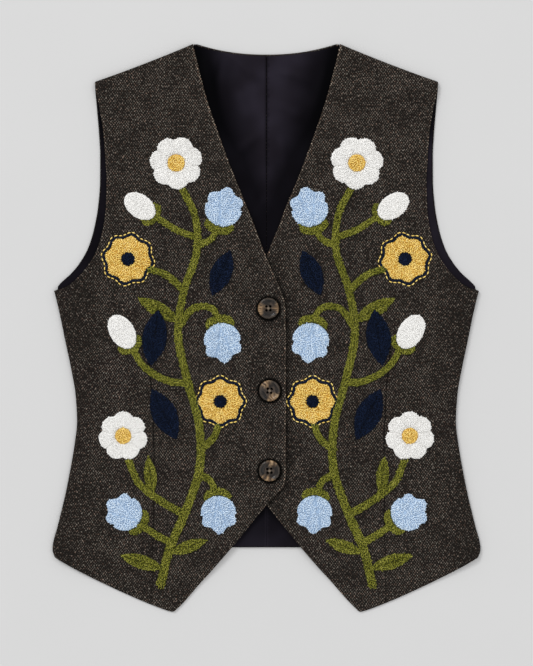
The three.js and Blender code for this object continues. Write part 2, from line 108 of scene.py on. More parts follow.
# name, kind, u, y, size, turn, half-width share of a leaf
PATCHES = [
    ("daisy_top", "daisy", 92, 168, 54, 8, 0),
    ("daisy_side", "daisy", 146, -110, 50, -12, 0),
    ("rosette_side", "rosette", 141, 70, 48, 10, 0),
    ("rosette_inner", "rosette", 47, -75, 46, 0, 0),
    ("tulip_neck", "tulip", 44, 121, 42, 104, 0),
    ("tulip_waist", "tulip", 45, -13, 42, -98, 0),
    ("tulip_hem", "tulip", 49, -188, 40, -94, 0),
    ("tulip_side", "tulip", 144, -189, 40, 34, 0),
    ("bud_side", "bud", 147, -4, 38, 58, 0),
    ("bud_shoulder", "bud", 129, 124, 36, 36, 0),
    ("leaf_bust", "leaf", 114, -10, 58, 98, 0.22),
    ("leaf_waist", "leaf", 104, -88, 58, 64, 0.22),
    ("leaf_chest", "leaf", 46, 56, 50, 112, 0.22),
]


# ================================================================ small mathematics
def smooth(t):
    t = np.clip(t, 0.0, 1.0)
    return t * t * (3 - 2 * t)


def through(xs, vs):
    """A curve through the values that never overshoots them."""
    order = np.argsort(xs)
    x, v = np.array(xs, float)[order], np.array(vs, float)[order]
    h = np.diff(x)
    s = np.diff(v) / h
    m = np.zeros_like(v)
    m[0], m[-1] = s[0], s[-1]
    for i in range(1, len(x) - 1):
        w1, w2 = 2 * h[i] + h[i - 1], h[i] + 2 * h[i - 1]
        m[i] = 0 if s[i - 1] * s[i] <= 0 else (w1 + w2) / (w1 / s[i - 1] + w2 / s[i])

    def f(at):
        at = np.clip(np.asarray(at, float), x[0], x[-1])
        i = np.clip(np.searchsorted(x, at, side="left") - 1, 0, len(x) - 2)
        t = (at - x[i]) / h[i]
        return (
            v[i] * (1 + 2 * t) * (1 - t) ** 2 + h[i] * m[i] * t * (1 - t) ** 2
            + v[i + 1] * t * t * (3 - 2 * t) + h[i] * m[i + 1] * t * t * (t - 1)
        )

    return f


back_arm = through([r[0] for r in ARMHOLE], [r[1] for r in ARMHOLE])
front_arm = through([r[0] for r in ARMHOLE], [r[2] for r in ARMHOLE])
side_seam = through([r[0] for r in SIDE], [r[1] for r in SIDE])
edge_of = through([r[0] for r in EDGE], [r[1] for r in EDGE])
dart_of = through([r[0] for r in DART], [r[1] for r in DART])


def outer_of(y):
    y = np.asarray(y, float)
    return np.where(y > UNDERARM_Y, front_arm(y), side_seam(y))


def along_row(ye, ys, x):
    """Height, up the page, of a front's row where it is x out from the centre line."""
    edge, outer = float(edge_of(ye)), float(outer_of(ys))
    t = (np.asarray(x, float) - edge) / (outer - edge)
    arch = np.maximum(0, 4 * t * (1 - t))
    hem = HEM_BOW * arch**0.6 * float(smooth((-150 - ys) / 83))
    return ye + (ys - ye) * t - hem - SHOULDER_BOW * arch * float(smooth((ys - 200) / 48))


def waves(x, y, seed, size, count=7):
    """Smooth, irregular waviness in -1..1 about size mm long, the same each run."""
    r = np.random.default_rng(seed)
    out = 0.0
    for _ in range(count):
        a, k, p = r.uniform(0, 2 * math.pi), 2 * math.pi / (size * r.uniform(0.7, 1.7)), r.uniform(0, 2 * math.pi)
        out = out + np.sin(k * (x * math.cos(a) + y * math.sin(a)) + p)
    return out / (count * 0.62)


# ---------------------------------------------------------------- creases, placed one by one
# x0, y0, x1, y1: the crease's line; half: its half-width; rise: ridge (+) or trough (-), all mm
FRONT_CREASES = {
    -1: [
        (-205, 22, -150, 2, 9, 0.75), (-196, 4, -146, -22, 8, -0.4), (-189, -62, -150, -52, 8, 0.55),
        (-190, -92, -146, -98, 9, 0.7), (-192, -112, -158, -122, 7, -0.35), (-164, 150, -136, 118, 8, 0.5),
        (-128, 4, -104, 44, 14, 0.45), (-30, 16, -66, 44, 9, 0.45), (-22, -66, -60, -50, 8, 0.35),
        (-20, -140, -62, -122, 9, 0.4), (-168, 236, -120, 214, 10, 0.35), (-58, 236, -84, 190, 9, 0.3),
        (-196, -176, -168, -200, 10, 0.5), (-150, -250, -128, -214, 10, 0.4), (-70, -262, -96, -226, 8, 0.35),
    ],
    1: [
        (207, 26, 158, 0, 8, 0.7), (200, 2, 152, -12, 9, -0.4), (190, -70, 156, -66, 7, 0.5),
        (191, -98, 148, -92, 9, 0.75), (195, -126, 160, -118, 8, -0.3), (166, 136, 140, 112, 9, 0.5),
        (128, 2, 112, 52, 13, 0.45), (34, 8, 70, 40, 8, 0.3), (28, -84, 64, -64, 9, 0.4),
        (26, -150, 70, -126, 8, 0.35), (166, 228, 128, 214, 9, 0.35), (62, 246, 80, 204, 9, 0.3),
        (203, -168, 172, -186, 9, 0.45), (152, -240, 134, -206, 9, 0.4), (84, -270, 104, -236, 8, 0.3),
    ],
}
LINING_CREASES = [
    (-42, 278, -6, 256, 5.0, 0.75), (-58, 272, -57, 205, 7.0, 0.9), (-47, 268, -46, 214, 5.0, -0.4),
    (-10, 196, -34, 168, 6.0, 0.35), (12, 262, 40, 250, 5.0, 0.45), (58, 268, 55, 214, 7.0, 0.75),
    (16, 190, 30, 150, 7.0, 0.45), (-30, 238, -12, 214, 6.0, 0.4), (8, 226, 34, 216, 5.0, 0.3),
    (-4, 130, -14, 96, 4.0, 0.3), (-22, -222, -12, -196, 5.0, 0.4), (24, -224, 14, -200, 5.0, 0.45),
    (3, -220, 5, -190, 3.5, 0.3),
]


def creases(x, y, rows):
    out = np.zeros_like(np.asarray(x, float))
    for x0, y0, x1, y1, half, rise in rows:
        dx, dy = x1 - x0, y1 - y0
        length = math.hypot(dx, dy)
        t = ((x - x0) * dx + (y - y0) * dy) / length**2
        side = ((x - x0) * dy - (y - y0) * dx) / length
        side = side + 0.06 * length * np.sin(3.1 * t + x0)  # no crease runs dead straight
        width = half * (0.75 + 0.5 * np.clip(t, 0, 1))
        along = smooth((t + 0.25) / 0.5) * smooth((1.3 - t) / 0.6)
        out = out + rise * along * np.exp(-((side / width) ** 2))
    return out


def front_relief(x, y, sign):
    out = creases(x, y, FRONT_CREASES[sign]) + 0.16 * waves(x, y, 3 + sign, 60)
    for _, across, up, _, _ in BUTTONS:  # the cloth is drawn in where a button is sewn down
        out = out - 0.95 * np.exp(-((np.hypot(x - across, y - up) / 11.5) ** 4))
    return out


# ---------------------------------------------------------------- the lie of the fronts
def underside(u, y, upper):
    laid = FRONT_Z * smooth((y - BACK_HEM_SIDE_Y + 41) / 39)
    loft = BUST_LOFT * np.exp(-(((u - 112) / 60) ** 2) - ((y - 25) / 95) ** 2) * smooth((u - 40) / 40)
    over = smooth((20 + LAP_EASE - u) / LAP_EASE) * smooth((y + 185 + LAP_EASE) / LAP_EASE) * smooth((92 + LAP_EASE - y) / LAP_EASE)
    return laid + loft + (LAP_LIFT * over if upper else 0.0)


def face_of(u, y, sign):
    """Height of a front's face at u out from the centre line."""
    return underside(u, y, sign < 0) + FRONT_WALL + front_relief(sign * u, y, sign)


# ================================================================ meshes
def mesh_object(name, verts, faces, smooth_shaded=True):
    """verts in mm; faces an (n, 3) or (n, 4) array, or a list of arrays of either."""
    me = bpy.data.meshes.new(name)
    verts = np.asarray(verts, float) * MM
    groups = faces if isinstance(faces, list) else [faces]
    flat = np.concatenate([np.asarray(g, np.int32).ravel() for g in groups])
    sizes = np.concatenate([np.full(len(g), np.asarray(g).shape[1], np.int32) for g in groups])
    starts = np.concatenate([[0], np.cumsum(sizes)[:-1]]).astype(np.int32)
    me.vertices.add(len(verts))
    me.vertices.foreach_set("co", verts.astype(np.float32).ravel())
    me.loops.add(len(flat))
    me.loops.foreach_set("vertex_index", flat)
    me.polygons.add(len(sizes))
    me.polygons.foreach_set("loop_start", starts)
    me.polygons.foreach_set("use_smooth", np.full(len(sizes), smooth_shaded))
    me.update(calc_edges=True)
    me.validate()
    obj = bpy.data.objects.new(name, me)
    bpy.context.scene.collection.objects.link(obj)
    return obj


def tidy(obj, merge=0.004):
    """Merges doubled points (mm) and turns the faces out."""
    bm = bmesh.new()
    bm.from_mesh(obj.data)
    bmesh.ops.remove_doubles(bm, verts=bm.verts, dist=merge * MM)
    bmesh.ops.dissolve_degenerate(bm, edges=bm.edges, dist=1e-7)
    bmesh.ops.recalc_face_normals(bm, faces=bm.faces)
    for f in bm.faces:
        f.smooth = True
    bm.to_mesh(obj.data)
    bm.free()
    return obj


def put_attribute(obj, name, values, kind="FLOAT"):
    a = obj.data.attributes.new(name, kind, "POINT")
    a.data.foreach_set("vector" if kind == "FLOAT_VECTOR" else "value", np.asarray(values, np.float32).ravel())


# ---------------------------------------------------------------- front panels
def panel_rows():
    rows = []
    for i in range(len(CROSSINGS) - 1):
        (e0, s0), (e1, s1) = CROSSINGS[i], CROSSINGS[i + 1]
        if i == 0:
            ts = [0, 0.06, 0.25, 0.55]
        elif i >= len(CROSSINGS) - 4:
            n = 3 if i > len(CROSSINGS) - 4 else 4
            ts = [k / n for k in range(n)]
            if i == len(CROSSINGS) - 3:
                ts = [0]
        elif i == len(CROSSINGS) - 5:
            pass
        if 0 < i < len(CROSSINGS) - 4:
            n = max(1, math.ceil(max(abs(e1 - e0), abs(s1 - s0)) / 3.3))
            ts = [k / n for k in range(n)]
        rows += [(e0 + (e1 - e0) * t, s0 + (s1 - s0) * t) for t in ts]
    rows.append(CROSSINGS[-1])
    return rows


def panel_columns(edge, outer, dart):
    near = [0, 0.1, 0.35, 0.8, 1.4, 2.2, 2.5, 3.3, 4.3, 5.5]
    across = [2.4, 1.5, 0.85, 0.4, 0.0, -0.4, -0.85, -1.5, -2.4]
    rim = [4.2, 3.0, 2.2, 1.6, 1.1, 0.6, 0.25, 0.07, 0.0]
    a, b = outer - near[-1], dart + across[0]
    c, d = dart + across[-1], edge + rim[0]
    return (
        [outer - k for k in near]
        + [a + (b - a) * (i + 1) / 21 for i in range(20)]
        + [dart + k for k in across]
        + [c + (d - c) * (i + 1) / 37 for i in range(36)]
        + [edge + k for k in rim]
    )


def front_shell(side, sign):
    rows = panel_rows()
    R = len(rows)
    top, low, cut, painted_seam_shade, painted_edge_highlight, painted_edge_shade = [], [], [], [], [], []
    for r, (ye, ys) in enumerate(rows):
        edge, outer = float(edge_of(ye)), float(outer_of(ys))
        mid = (ye + ys) / 2
        dart = min(max(float(dart_of(mid)) + 2.6 * sign, edge + 12), outer - 20)
        x = np.array(panel_columns(edge, outer, dart))
        y = along_row(ye, ys, x)
        from_shoulder = (SHOULDER_Y - ys) / 1.075
        seam_side = ys <= 36.5
        rolled = 1 - smooth((ys - 36) / 20)
        in_side, in_edge, in_hem = outer - x, x - edge, (ys + 233) * 0.9
        base = underside(x, y, sign < 0)
        relief = front_relief(sign * x, y, sign)
        under = base + np.maximum(relief, 0) * 0.8
        up = base + FRONT_WALL + relief
        # the dart's seam: a narrow groove with the cloth a little proud beside it
        along = smooth((DART_TOP_Y - y) / 22)
        dx = x - float(dart_of(mid)) - 2.6 * sign
        up += along * (-0.85 * np.exp(-((dx / 0.5) ** 2)) + 0.22 * np.exp(-(((np.abs(dx) - 2.4) / 1.7) ** 2)) - 0.3 * np.exp(-((dx / 4.5) ** 2)))
        roll = lambda d: np.where(d < SEAM_ROLL, 1 - np.sqrt(np.maximum(0, 1 - (1 - np.minimum(d, SEAM_ROLL) / SEAM_ROLL) ** 2)), 0)
        drop = np.maximum(roll(in_side) * rolled, float(roll(np.array(max(from_shoulder, 0)))))
        up -= drop * (up - BACK_WALL - 0.6)
        leg = ((in_side <= SEAM_LEG + 1e-6) & seam_side) | (from_shoulder <= SEAM_LEG + 1e-6)
        under = np.where(leg, SEAM_GAP, under)
        q = np.minimum(np.minimum(in_edge, in_hem), np.where(seam_side, 99, in_side * 0.8))
        turned = FRONT_WALL / 2 * (1 - np.sqrt(np.maximum(0, 1 - (1 - np.clip(q / RIM, 0, 1)) ** 2)))
        free = ~leg
        up -= np.where(free, turned, 0)
        under += np.where(free, turned, 0)
        # the edges themselves wander a little
        wander = 0.35 * waves(x, y, 11 + sign, 45) * np.clip(1 - np.minimum(in_edge, 12) / 12, 0, 1)
        x_out = x + np.where(in_edge < 12, wander * (1 if r not in (0, R - 1) else 0), 0)
        top.append(np.stack([sign * x_out, y, up], 1))
        low.append(np.stack([sign * x_out, y, under], 1))
        # where each point lay on the cloth before the dart was taken in
        turn = math.radians(3.6) * along * smooth((dx + 0.2) / 0.4)
        ox, oy = float(dart_of(DART_TOP_Y)) + 2.6 * sign, DART_TOP_Y
        rx = ox + (x - ox) * np.cos(turn) + (y - oy) * np.sin(turn)
        ry = oy - (x - ox) * np.sin(turn) + (y - oy) * np.cos(turn)
        cut.append(np.stack([sign * rx, ry, np.zeros_like(rx)], 1))
        # painted shade along the dart's stitched line, fainter towards the hem
        painted_seam_shade.append(along * (1 - 0.5 * smooth((-195 - mid) / 45)) * np.exp(-((dx / 0.62) ** 2)))
        # painted highlight along the neck, lap and cutaway edges, and more faintly along the armhole
        front_edge_highlight = (0.3 + 0.7 * smooth((y + 172) / 14)) * np.exp(-(((in_edge - 0.9) / 0.8) ** 2))
        armhole_highlight = np.where(seam_side, 0, 0.5 * np.exp(-(((in_side - 0.7) / 0.7) ** 2)))
        painted_edge_highlight.append(np.maximum(front_edge_highlight, armhole_highlight))
        # painted shadow beside the lap, on the front that it covers
        lapped = (sign > 0) * np.clip(0.4 - edge_of(y) / 4, 0, 1)
        painted_edge_shade.append(1.35 * lapped * np.exp(-((np.maximum(x + edge_of(y), 0) / 5.0) ** 1.5)))
    C = len(top[0])
    top, low, cut = np.array(top), np.array(low), np.array(cut)
    verts = np.concatenate([top.reshape(-1, 3), low.reshape(-1, 3)])
    idx = np.arange(R * C).reshape(R, C)
    q = lambda a, b, c, d: np.stack([a.ravel(), b.ravel(), c.ravel(), d.ravel()], 1)
    n = R * C
    faces = [
        q(idx[:-1, :-1], idx[:-1, 1:], idx[1:, 1:], idx[1:, :-1]),
        q(n + idx[:-1, :-1], n + idx[1:, :-1], n + idx[1:, 1:], n + idx[:-1, 1:]),
        q(idx[:-1, 0], idx[1:, 0], n + idx[1:, 0], n + idx[:-1, 0]),
        q(idx[1:, -1], idx[:-1, -1], n + idx[:-1, -1], n + idx[1:, -1]),
        q(idx[0, 1:], idx[0, :-1], n + idx[0, :-1], n + idx[0, 1:]),
        q(idx[-1, :-1], idx[-1, 1:], n + idx[-1, 1:], n + idx[-1, :-1]),
    ]
    obj = mesh_object("tweed_front_" + side, verts, np.concatenate(faces))
    put_attribute(obj, "cut", np.concatenate([cut.reshape(-1, 3)] * 2), "FLOAT_VECTOR")
    put_attribute(obj, "painted_seam_shade", np.concatenate([np.array(painted_seam_shade).ravel()] * 2))
    put_attribute(obj, "turned", np.concatenate([np.array(painted_edge_highlight).ravel()] * 2))
    put_attribute(obj, "painted_edge_shade", np.concatenate([np.array(painted_edge_shade).ravel()] * 2))
    return tidy(obj)


# ---------------------------------------------------------------- flat panels: back and lining
def back_outline(neck, shoulder, arm, side, hem):
    """Right half of the outline, from the middle of the neck round to the middle of the hem."""
    pts = []
    for x in np.linspace(0, 70.8, 34):
        pts.append((x, BACK_NECK_Y + 12 * (x / NECK_HALF) ** 2.15 - neck))
    pts += [(71.9, TOP_Y - 0.3 - neck), (73.0, TOP_Y - 0.2 - neck), (74.0, TOP_Y - 0.3 - neck), (74.35, TOP_Y - 0.8 - neck)]
    inner = CROSSINGS[-3]
    for x in np.linspace(74.15, SHOULDER_X + 0.5 - arm, 42):
        pts.append((x, float(along_row(inner[0], inner[1], x)) - shoulder - neck))
    for y in np.linspace(pts[-1][1] - 0.5, UNDERARM_Y, 90):
        pts.append((float(back_arm(y)) - max(arm, side * (1 - float(smooth((y - 38.5) / 5)))), y))
    for y in np.linspace(UNDERARM_Y, BACK_HEM_SIDE_Y + hem, 90)[1:]:
        pts.append((float(side_seam(y)) - side - 0.1, y))
    for x in np.linspace(pts[-1][0], 0, 80)[1:]:
        pts.append((x, BACK_HEM_Y + (BACK_HEM_SIDE_Y - BACK_HEM_Y) * (x / 218) ** 2 + hem))
    return np.array(pts)


def inset_loop(loop, d):
    """A closed loop moved in by d along its own normals (loop runs clockwise)."""
    prev, nxt = np.roll(loop, 1, 0), np.roll(loop, -1, 0)
    a, b = loop - prev, nxt - loop
    a /= np.maximum(np.linalg.norm(a, axis=1, keepdims=True), 1e-9)
    b /= np.maximum(np.linalg.norm(b, axis=1, keepdims=True), 1e-9)
    t = a + b
    t /= np.maximum(np.linalg.norm(t, axis=1, keepdims=True), 1e-9)
    n = np.stack([t[:, 1], -t[:, 0]], 1)
    k = 1 / np.clip((a * np.stack([t[:, 0], t[:, 1]], 1)).sum(1), 0.6, 1)
    return loop + n * d * k[:, None]


def flat_panel(name, loop, z0, wall, pitch, relief, rim=None, flat_under=True, fine=None):
    """A wall on a closed outline, its edges rounded over, relief(x, y) added to its face; where fine(x, y) is false, two points in three are left out each way."""
    rim = wall * 0.48 if rim is None else rim
    steps = [0, 0.06, 0.25, 0.6, 1.0]
    loops = [inset_loop(loop, rim * s) for s in steps]
    inner = loops[-1]
    lo, hi = inner.min(0), inner.max(0)
    gx, gy = np.meshgrid(np.arange(lo[0], hi[0], pitch) + pitch / 2, np.arange(lo[1], hi[1], pitch) + pitch / 2)
    cand = np.stack([gx.ravel(), gy.ravel()], 1)
    a, b = inner, np.roll(inner, -1, 0)
    inside = np.zeros(len(cand), bool)
    near = np.full(len(cand), 1e9)
    for p, q in zip(a, b):
        hit = ((p[1] > cand[:, 1]) != (q[1] > cand[:, 1])) & (
            cand[:, 0] < (q[0] - p[0]) * (cand[:, 1] - p[1]) / (q[1] - p[1] + 1e-12) + p[0]
        )
        inside ^= hit
        near = np.minimum(near, np.hypot(cand[:, 0] - p[0], cand[:, 1] - p[1]))
    wanted = inside & (near > pitch * 0.6)
    if fine is not None:
        third = (np.arange(gx.shape[1]) % 3 == 0)[None, :] & (np.arange(gx.shape[0]) % 3 == 0)[:, None]
        wanted &= third.ravel() | fine(cand[:, 0], cand[:, 1])
    cand = cand[wanted]
    n = len(inner)
    coords = [Vector(p) for p in inner] + [Vector(p) for p in cand]
    edges = [(i, (i + 1) % n) for i in range(n)]
    v2, _, tris, *_ = geometry.delaunay_2d_cdt(coords, edges, [], 1, 1e-6)
    v2 = np.array([tuple(v) for v in v2])
    tris = np.array([tuple(f) for f in tris])
    if len(v2) != n + len(cand):
        print(name, "points moved in the triangulation:", len(v2), n + len(cand))
    m = len(v2)
    half = wall / 2
    lift = lambda s: half * math.sqrt(max(0, 1 - (1 - s) ** 2))
    outer_count = len(steps) - 1
    verts, zs = [], []
    ring_top, ring_low = [], []
    total = 0
    blocks = []
    for k in range(outer_count):
        p = loops[k]
        r = relief(p[:, 0], p[:, 1]) * steps[k]
        up = z0 + half + lift(steps[k]) + r
        dn = z0 + half - lift(steps[k])
        blocks.append(np.column_stack([p, up]))
        ring_top.append(total + np.arange(n))
        total += n
        if k:
            blocks.append(np.column_stack([p, np.full(n, dn)]))
            ring_low.append(total + np.arange(n))
            total += n
        else:
            ring_low.append(ring_top[0])
    face = np.column_stack([v2, z0 + wall + relief(v2[:, 0], v2[:, 1])])
    sole = np.column_stack([v2, np.full(m, z0)])
    blocks += [face, sole]
    top0, low0 = total, total + m
    ring_top.append(top0 + np.arange(n))
    ring_low.append(low0 + np.arange(n))
    quads = []
    for rings in (ring_top, ring_low):
        for k in range(outer_count):
            i, j = rings[k], rings[k + 1]
            quads.append(np.stack([i, np.roll(i, -1), np.roll(j, -1), j], 1))
    verts = np.concatenate(blocks)
    obj = mesh_object(name, verts, [np.concatenate(quads), np.concatenate([top0 + tris, low0 + tris[:, ::-1]])])
    put_attribute(obj, "cut", np.column_stack([verts[:, :2], np.zeros(len(verts))]), "FLOAT_VECTOR")
    return tidy(obj, 0.002)


# ================================================================ materials
class Nodes:
    """Short hand for building a node tree."""

    def __init__(self, name):
        self.mat = bpy.data.materials.new(name)
        self.mat.use_nodes = True
        self.tree = self.mat.node_tree
        self.tree.nodes.clear()
        self.out = self.tree.nodes.new("ShaderNodeOutputMaterial")
        self.bsdf = self.tree.nodes.new("ShaderNodeBsdfPrincipled")
        self.tree.links.new(self.bsdf.outputs[0], self.out.inputs[0])

    def set(self, **sockets):
        for name, value in sockets.items():
            self.feed(self.bsdf.inputs[name.replace("_", " ")], value)

    def feed(self, socket, value):
        if hasattr(value, "is_output") or isinstance(value, bpy.types.NodeSocket):
            self.tree.links.new(value, socket)
        else:
            socket.default_value = value

    def node(self, kind, inputs=(), **settings):
        n = self.tree.nodes.new(kind)
        for k, v in settings.items():
            setattr(n, k, v)
        for k, v in dict(inputs).items():
            self.feed(n.inputs[k], v)
        return n

    def math(self, op, a, b=0.0, c=0.0, clamp=False):
        n = self.node("ShaderNodeMath", {0: a, 1: b, 2: c}, operation=op, use_clamp=clamp)
        return n.outputs[0]

    def noise(self, vector, scale, detail=2.0, rough=0.5, what=0):
        return self.node("ShaderNodeTexNoise", {"Vector": vector, "Scale": scale, "Detail": detail, "Roughness": rough}).outputs[what]

    def scaled(self, vector, x, y, z=1.0):
        return self.node("ShaderNodeVectorMath", {0: vector, 1: (x, y, z)}, operation="MULTIPLY").outputs[0]

    def plus(self, a, b):
        return self.node("ShaderNodeVectorMath", {0: a, 1: b}, operation="ADD").outputs[0]

    def step(self, value, lo, hi, a=0.0, b=1.0):
        n = self.node("ShaderNodeMapRange", {0: value, 1: lo, 2: hi, 3: a, 4: b}, interpolation_type="SMOOTHSTEP")
        return n.outputs[0]

    def mix(self, factor, a, b, how="MIX"):
        n = self.node("ShaderNodeMix", data_type="RGBA", blend_type=how)
        self.feed(n.inputs[0], factor)
        self.feed(n.inputs[6], a)
        self.feed(n.inputs[7], b)
        return n.outputs[2]

    def ramp(self, value, stops):
        n = self.node("ShaderNodeValToRGB", {0: value})
        e = n.color_ramp.elements
        while len(e) < len(stops):
            e.new(0.5)
        for el, (at, col) in zip(e, stops):
            el.position, el.color = at, col
        return n.outputs[0]

    def attribute(self, name, what="Vector"):
        return self.node("ShaderNodeAttribute", attribute_name=name).outputs[what]

    def split(self, vector):
        n = self.node("ShaderNodeSeparateXYZ", {0: vector})
        return n.outputs[0], n.outputs[1], n.outputs[2]

    def bump(self, height, distance, strength=1.0, under=None):
        inputs = {"Height": height, "Distance": distance, "Strength": strength}
        n = self.node("ShaderNodeBump", inputs)
        if under is not None:
            self.feed(n.inputs["Normal"], under)
        return n.outputs[0]


def rgb(r, g, b):
    """A display colour (0..255) as the shader wants it."""
    return tuple((v / 255 / 12.92) if v <= 10.3 else ((v / 255 + 0.055) / 1.055) ** 2.4 for v in (r, g, b)) + (1.0,)


def tweed_material(name, sewn=()):
    """Birdseye wool tweed: staggered light flecks on a dark ground, with slubbed and heathered yarns."""
    n = Nodes(name)
    cut = n.attribute("cut")  # mm on the cloth
    off = n.node("ShaderNodeVectorMath", {0: n.noise(cut, 0.16, 1, 0.5, 1), 1: (0.5, 0.5, 0.5)}, operation="SUBTRACT").outputs[0]
    p = n.plus(cut, n.scaled(off, 2.6, 2.6, 0))
    x, y, _ = n.split(p)
    c = n.math("MULTIPLY", n.math("COSINE", n.math("MULTIPLY", x, math.pi / 1.32)), n.math("COSINE", n.math("MULTIPLY", y, math.pi / 1.75)))
    grit = n.noise(cut, 0.45, 0, 0.5)
    crumb = n.noise(n.plus(cut, (40.0, 7.0, 0.0)), 0.8, 0, 0.5)
    slub = n.noise(n.scaled(cut, 0.14, 0.5), 1.0, 0, 0.5)
    cloud = n.noise(cut, 0.03, 2, 0.5)
    clear = n.step(n.noise(cut, 0.05, 1, 0.5), 0.38, 0.6, 0.75, 1.35)  # where the birdseye reads clearly
    bare_x, _, _ = n.split(cut)
    clear = n.math("MULTIPLY", clear, n.step(n.math("ABSOLUTE", bare_x), 150.0, 205.0, 1.0, 0.45))
    lit = n.math("MULTIPLY", c, clear)
    for part, weight in ((grit, 1.7), (crumb, 2.0), (slub, 0.8), (cloud, 0.3)):
        lit = n.math("ADD", lit, n.math("MULTIPLY", n.math("SUBTRACT", part, 0.5), weight))
    bright = n.math("ADD", 0.62, n.math("MULTIPLY", n.math("SUBTRACT", n.noise(n.plus(cut, (5.0, 90.0, 0.0)), 0.4, 0, 0.5), 0.5), 1.1))
    fleck = n.math("MULTIPLY", n.step(lit, -0.05, 1.15), bright, clamp=True)
    tone = n.ramp(fleck, [(0.0, rgb(22, 19, 17)), (0.3, rgb(52, 47, 43)), (0.62, rgb(90, 83, 76)), (1.0, rgb(122, 115, 107))])
    hue = n.noise(n.plus(cut, (9.0, 4.0, 0.0)), 0.5, 0, 0.5)
    tone = n.mix(n.step(hue, 0.55, 0.7), tone, n.mix(1.0, tone, (1.2, 0.97, 0.88, 1.0), "MULTIPLY"))
    tone = n.mix(n.step(hue, 0.45, 0.3), tone, n.mix(1.0, tone, (0.92, 1.0, 0.98, 1.0), "MULTIPLY"))
    # painted highlight along the fronts' turned edges
    tone = n.mix(n.attribute("turned", "Fac"), tone, n.mix(1.0, tone, (2.5, 2.4, 2.25, 1.0), "MULTIPLY"))
    # painted shade along the dart's stitched line
    tone = n.mix(n.math("MULTIPLY", n.attribute("painted_seam_shade", "Fac"), 0.85), tone, rgb(6, 5, 5))
    # painted shade beside the lap and along the back's armhole and hem edges
    tone = n.mix(n.math("MULTIPLY", n.attribute("painted_edge_shade", "Fac"), 0.7), tone, n.mix(1.0, tone, (0.3, 0.3, 0.3, 1.0), "MULTIPLY"))
    for across, up in sewn:  # painted shadow: the cloth is darkened in a ring round each button's edge
        away = n.plus(cut, (-across - 0.2, 0.3 - up, 0.0))
        gap = n.node("ShaderNodeVectorMath", {0: away}, operation="LENGTH").outputs[1]
        tone = n.mix(n.step(gap, 12.0, 14.6, 0.98, 0.0), tone, n.mix(1.0, tone, (0.03, 0.03, 0.03, 1.0), "MULTIPLY"))
    n.set(Base_Color=tone, Roughness=0.95, Specular_IOR_Level=0.06, Sheen_Weight=0.02, Sheen_Roughness=0.6)
    n.bsdf.inputs["Sheen Tint"].default_value = rgb(190, 180, 165)
    n.set(Normal=n.bump(c, 0.0002, 0.5))
    return n.mat


def lining_material():
    """Blue-black satin with a soft, slightly uneven painted sheen, and painted shade where the fronts close over it."""
    n = Nodes("lining_satin")
    cut = n.attribute("cut")
    cloud = n.noise(cut, 0.03, 1, 0.5)
    slub = n.noise(n.scaled(cut, 0.1, 0.3), 1.0, 0, 0.5)
    # painted sheen: soft, uneven patches of lighter satin
    colour = n.mix(n.step(cloud, 0.3, 0.75), rgb(26, 23, 29), rgb(34, 31, 39))
    # painted shade from the vertex attribute, darkening the satin towards near-black
    colour = n.mix(n.attribute("lining_painted_shade", "Fac"), colour, rgb(2, 2, 3))
    n.set(Base_Color=colour, Roughness=0.5, Specular_IOR_Level=0.012, Sheen_Weight=0.0)
    n.set(Normal=n.bump(slub, 0.00006, 0.5))
    return n.mat


def yarn_material(name, dark, mid, light, rough=0.9, sheen=0.06, shine=0.1):
    """Wool yarn: each loop has a tone of its own, and painted shade makes it darker at its foot."""
    n = Nodes(name)
    where = n.node("ShaderNodeNewGeometry").outputs["Position"]
    shade = n.attribute("shade", "Fac")
    ply = n.noise(where, 1400.0, 2, 0.6)
    cloud = n.noise(where, 60.0, 2, 0.5)
    value = n.math("ADD", shade, n.math("MULTIPLY", n.math("SUBTRACT", ply, 0.5), 0.35))
    value = n.math("ADD", value, n.math("MULTIPLY", n.math("SUBTRACT", cloud, 0.5), 0.4), clamp=True)
    colour = n.ramp(value, [(0.0, dark), (0.5, mid), (1.0, light)])
    n.set(Base_Color=colour, Roughness=rough, Specular_IOR_Level=shine, Sheen_Weight=sheen, Sheen_Roughness=0.5)
    n.set(Normal=n.bump(ply, 0.00018, 0.6))
    return n.mat


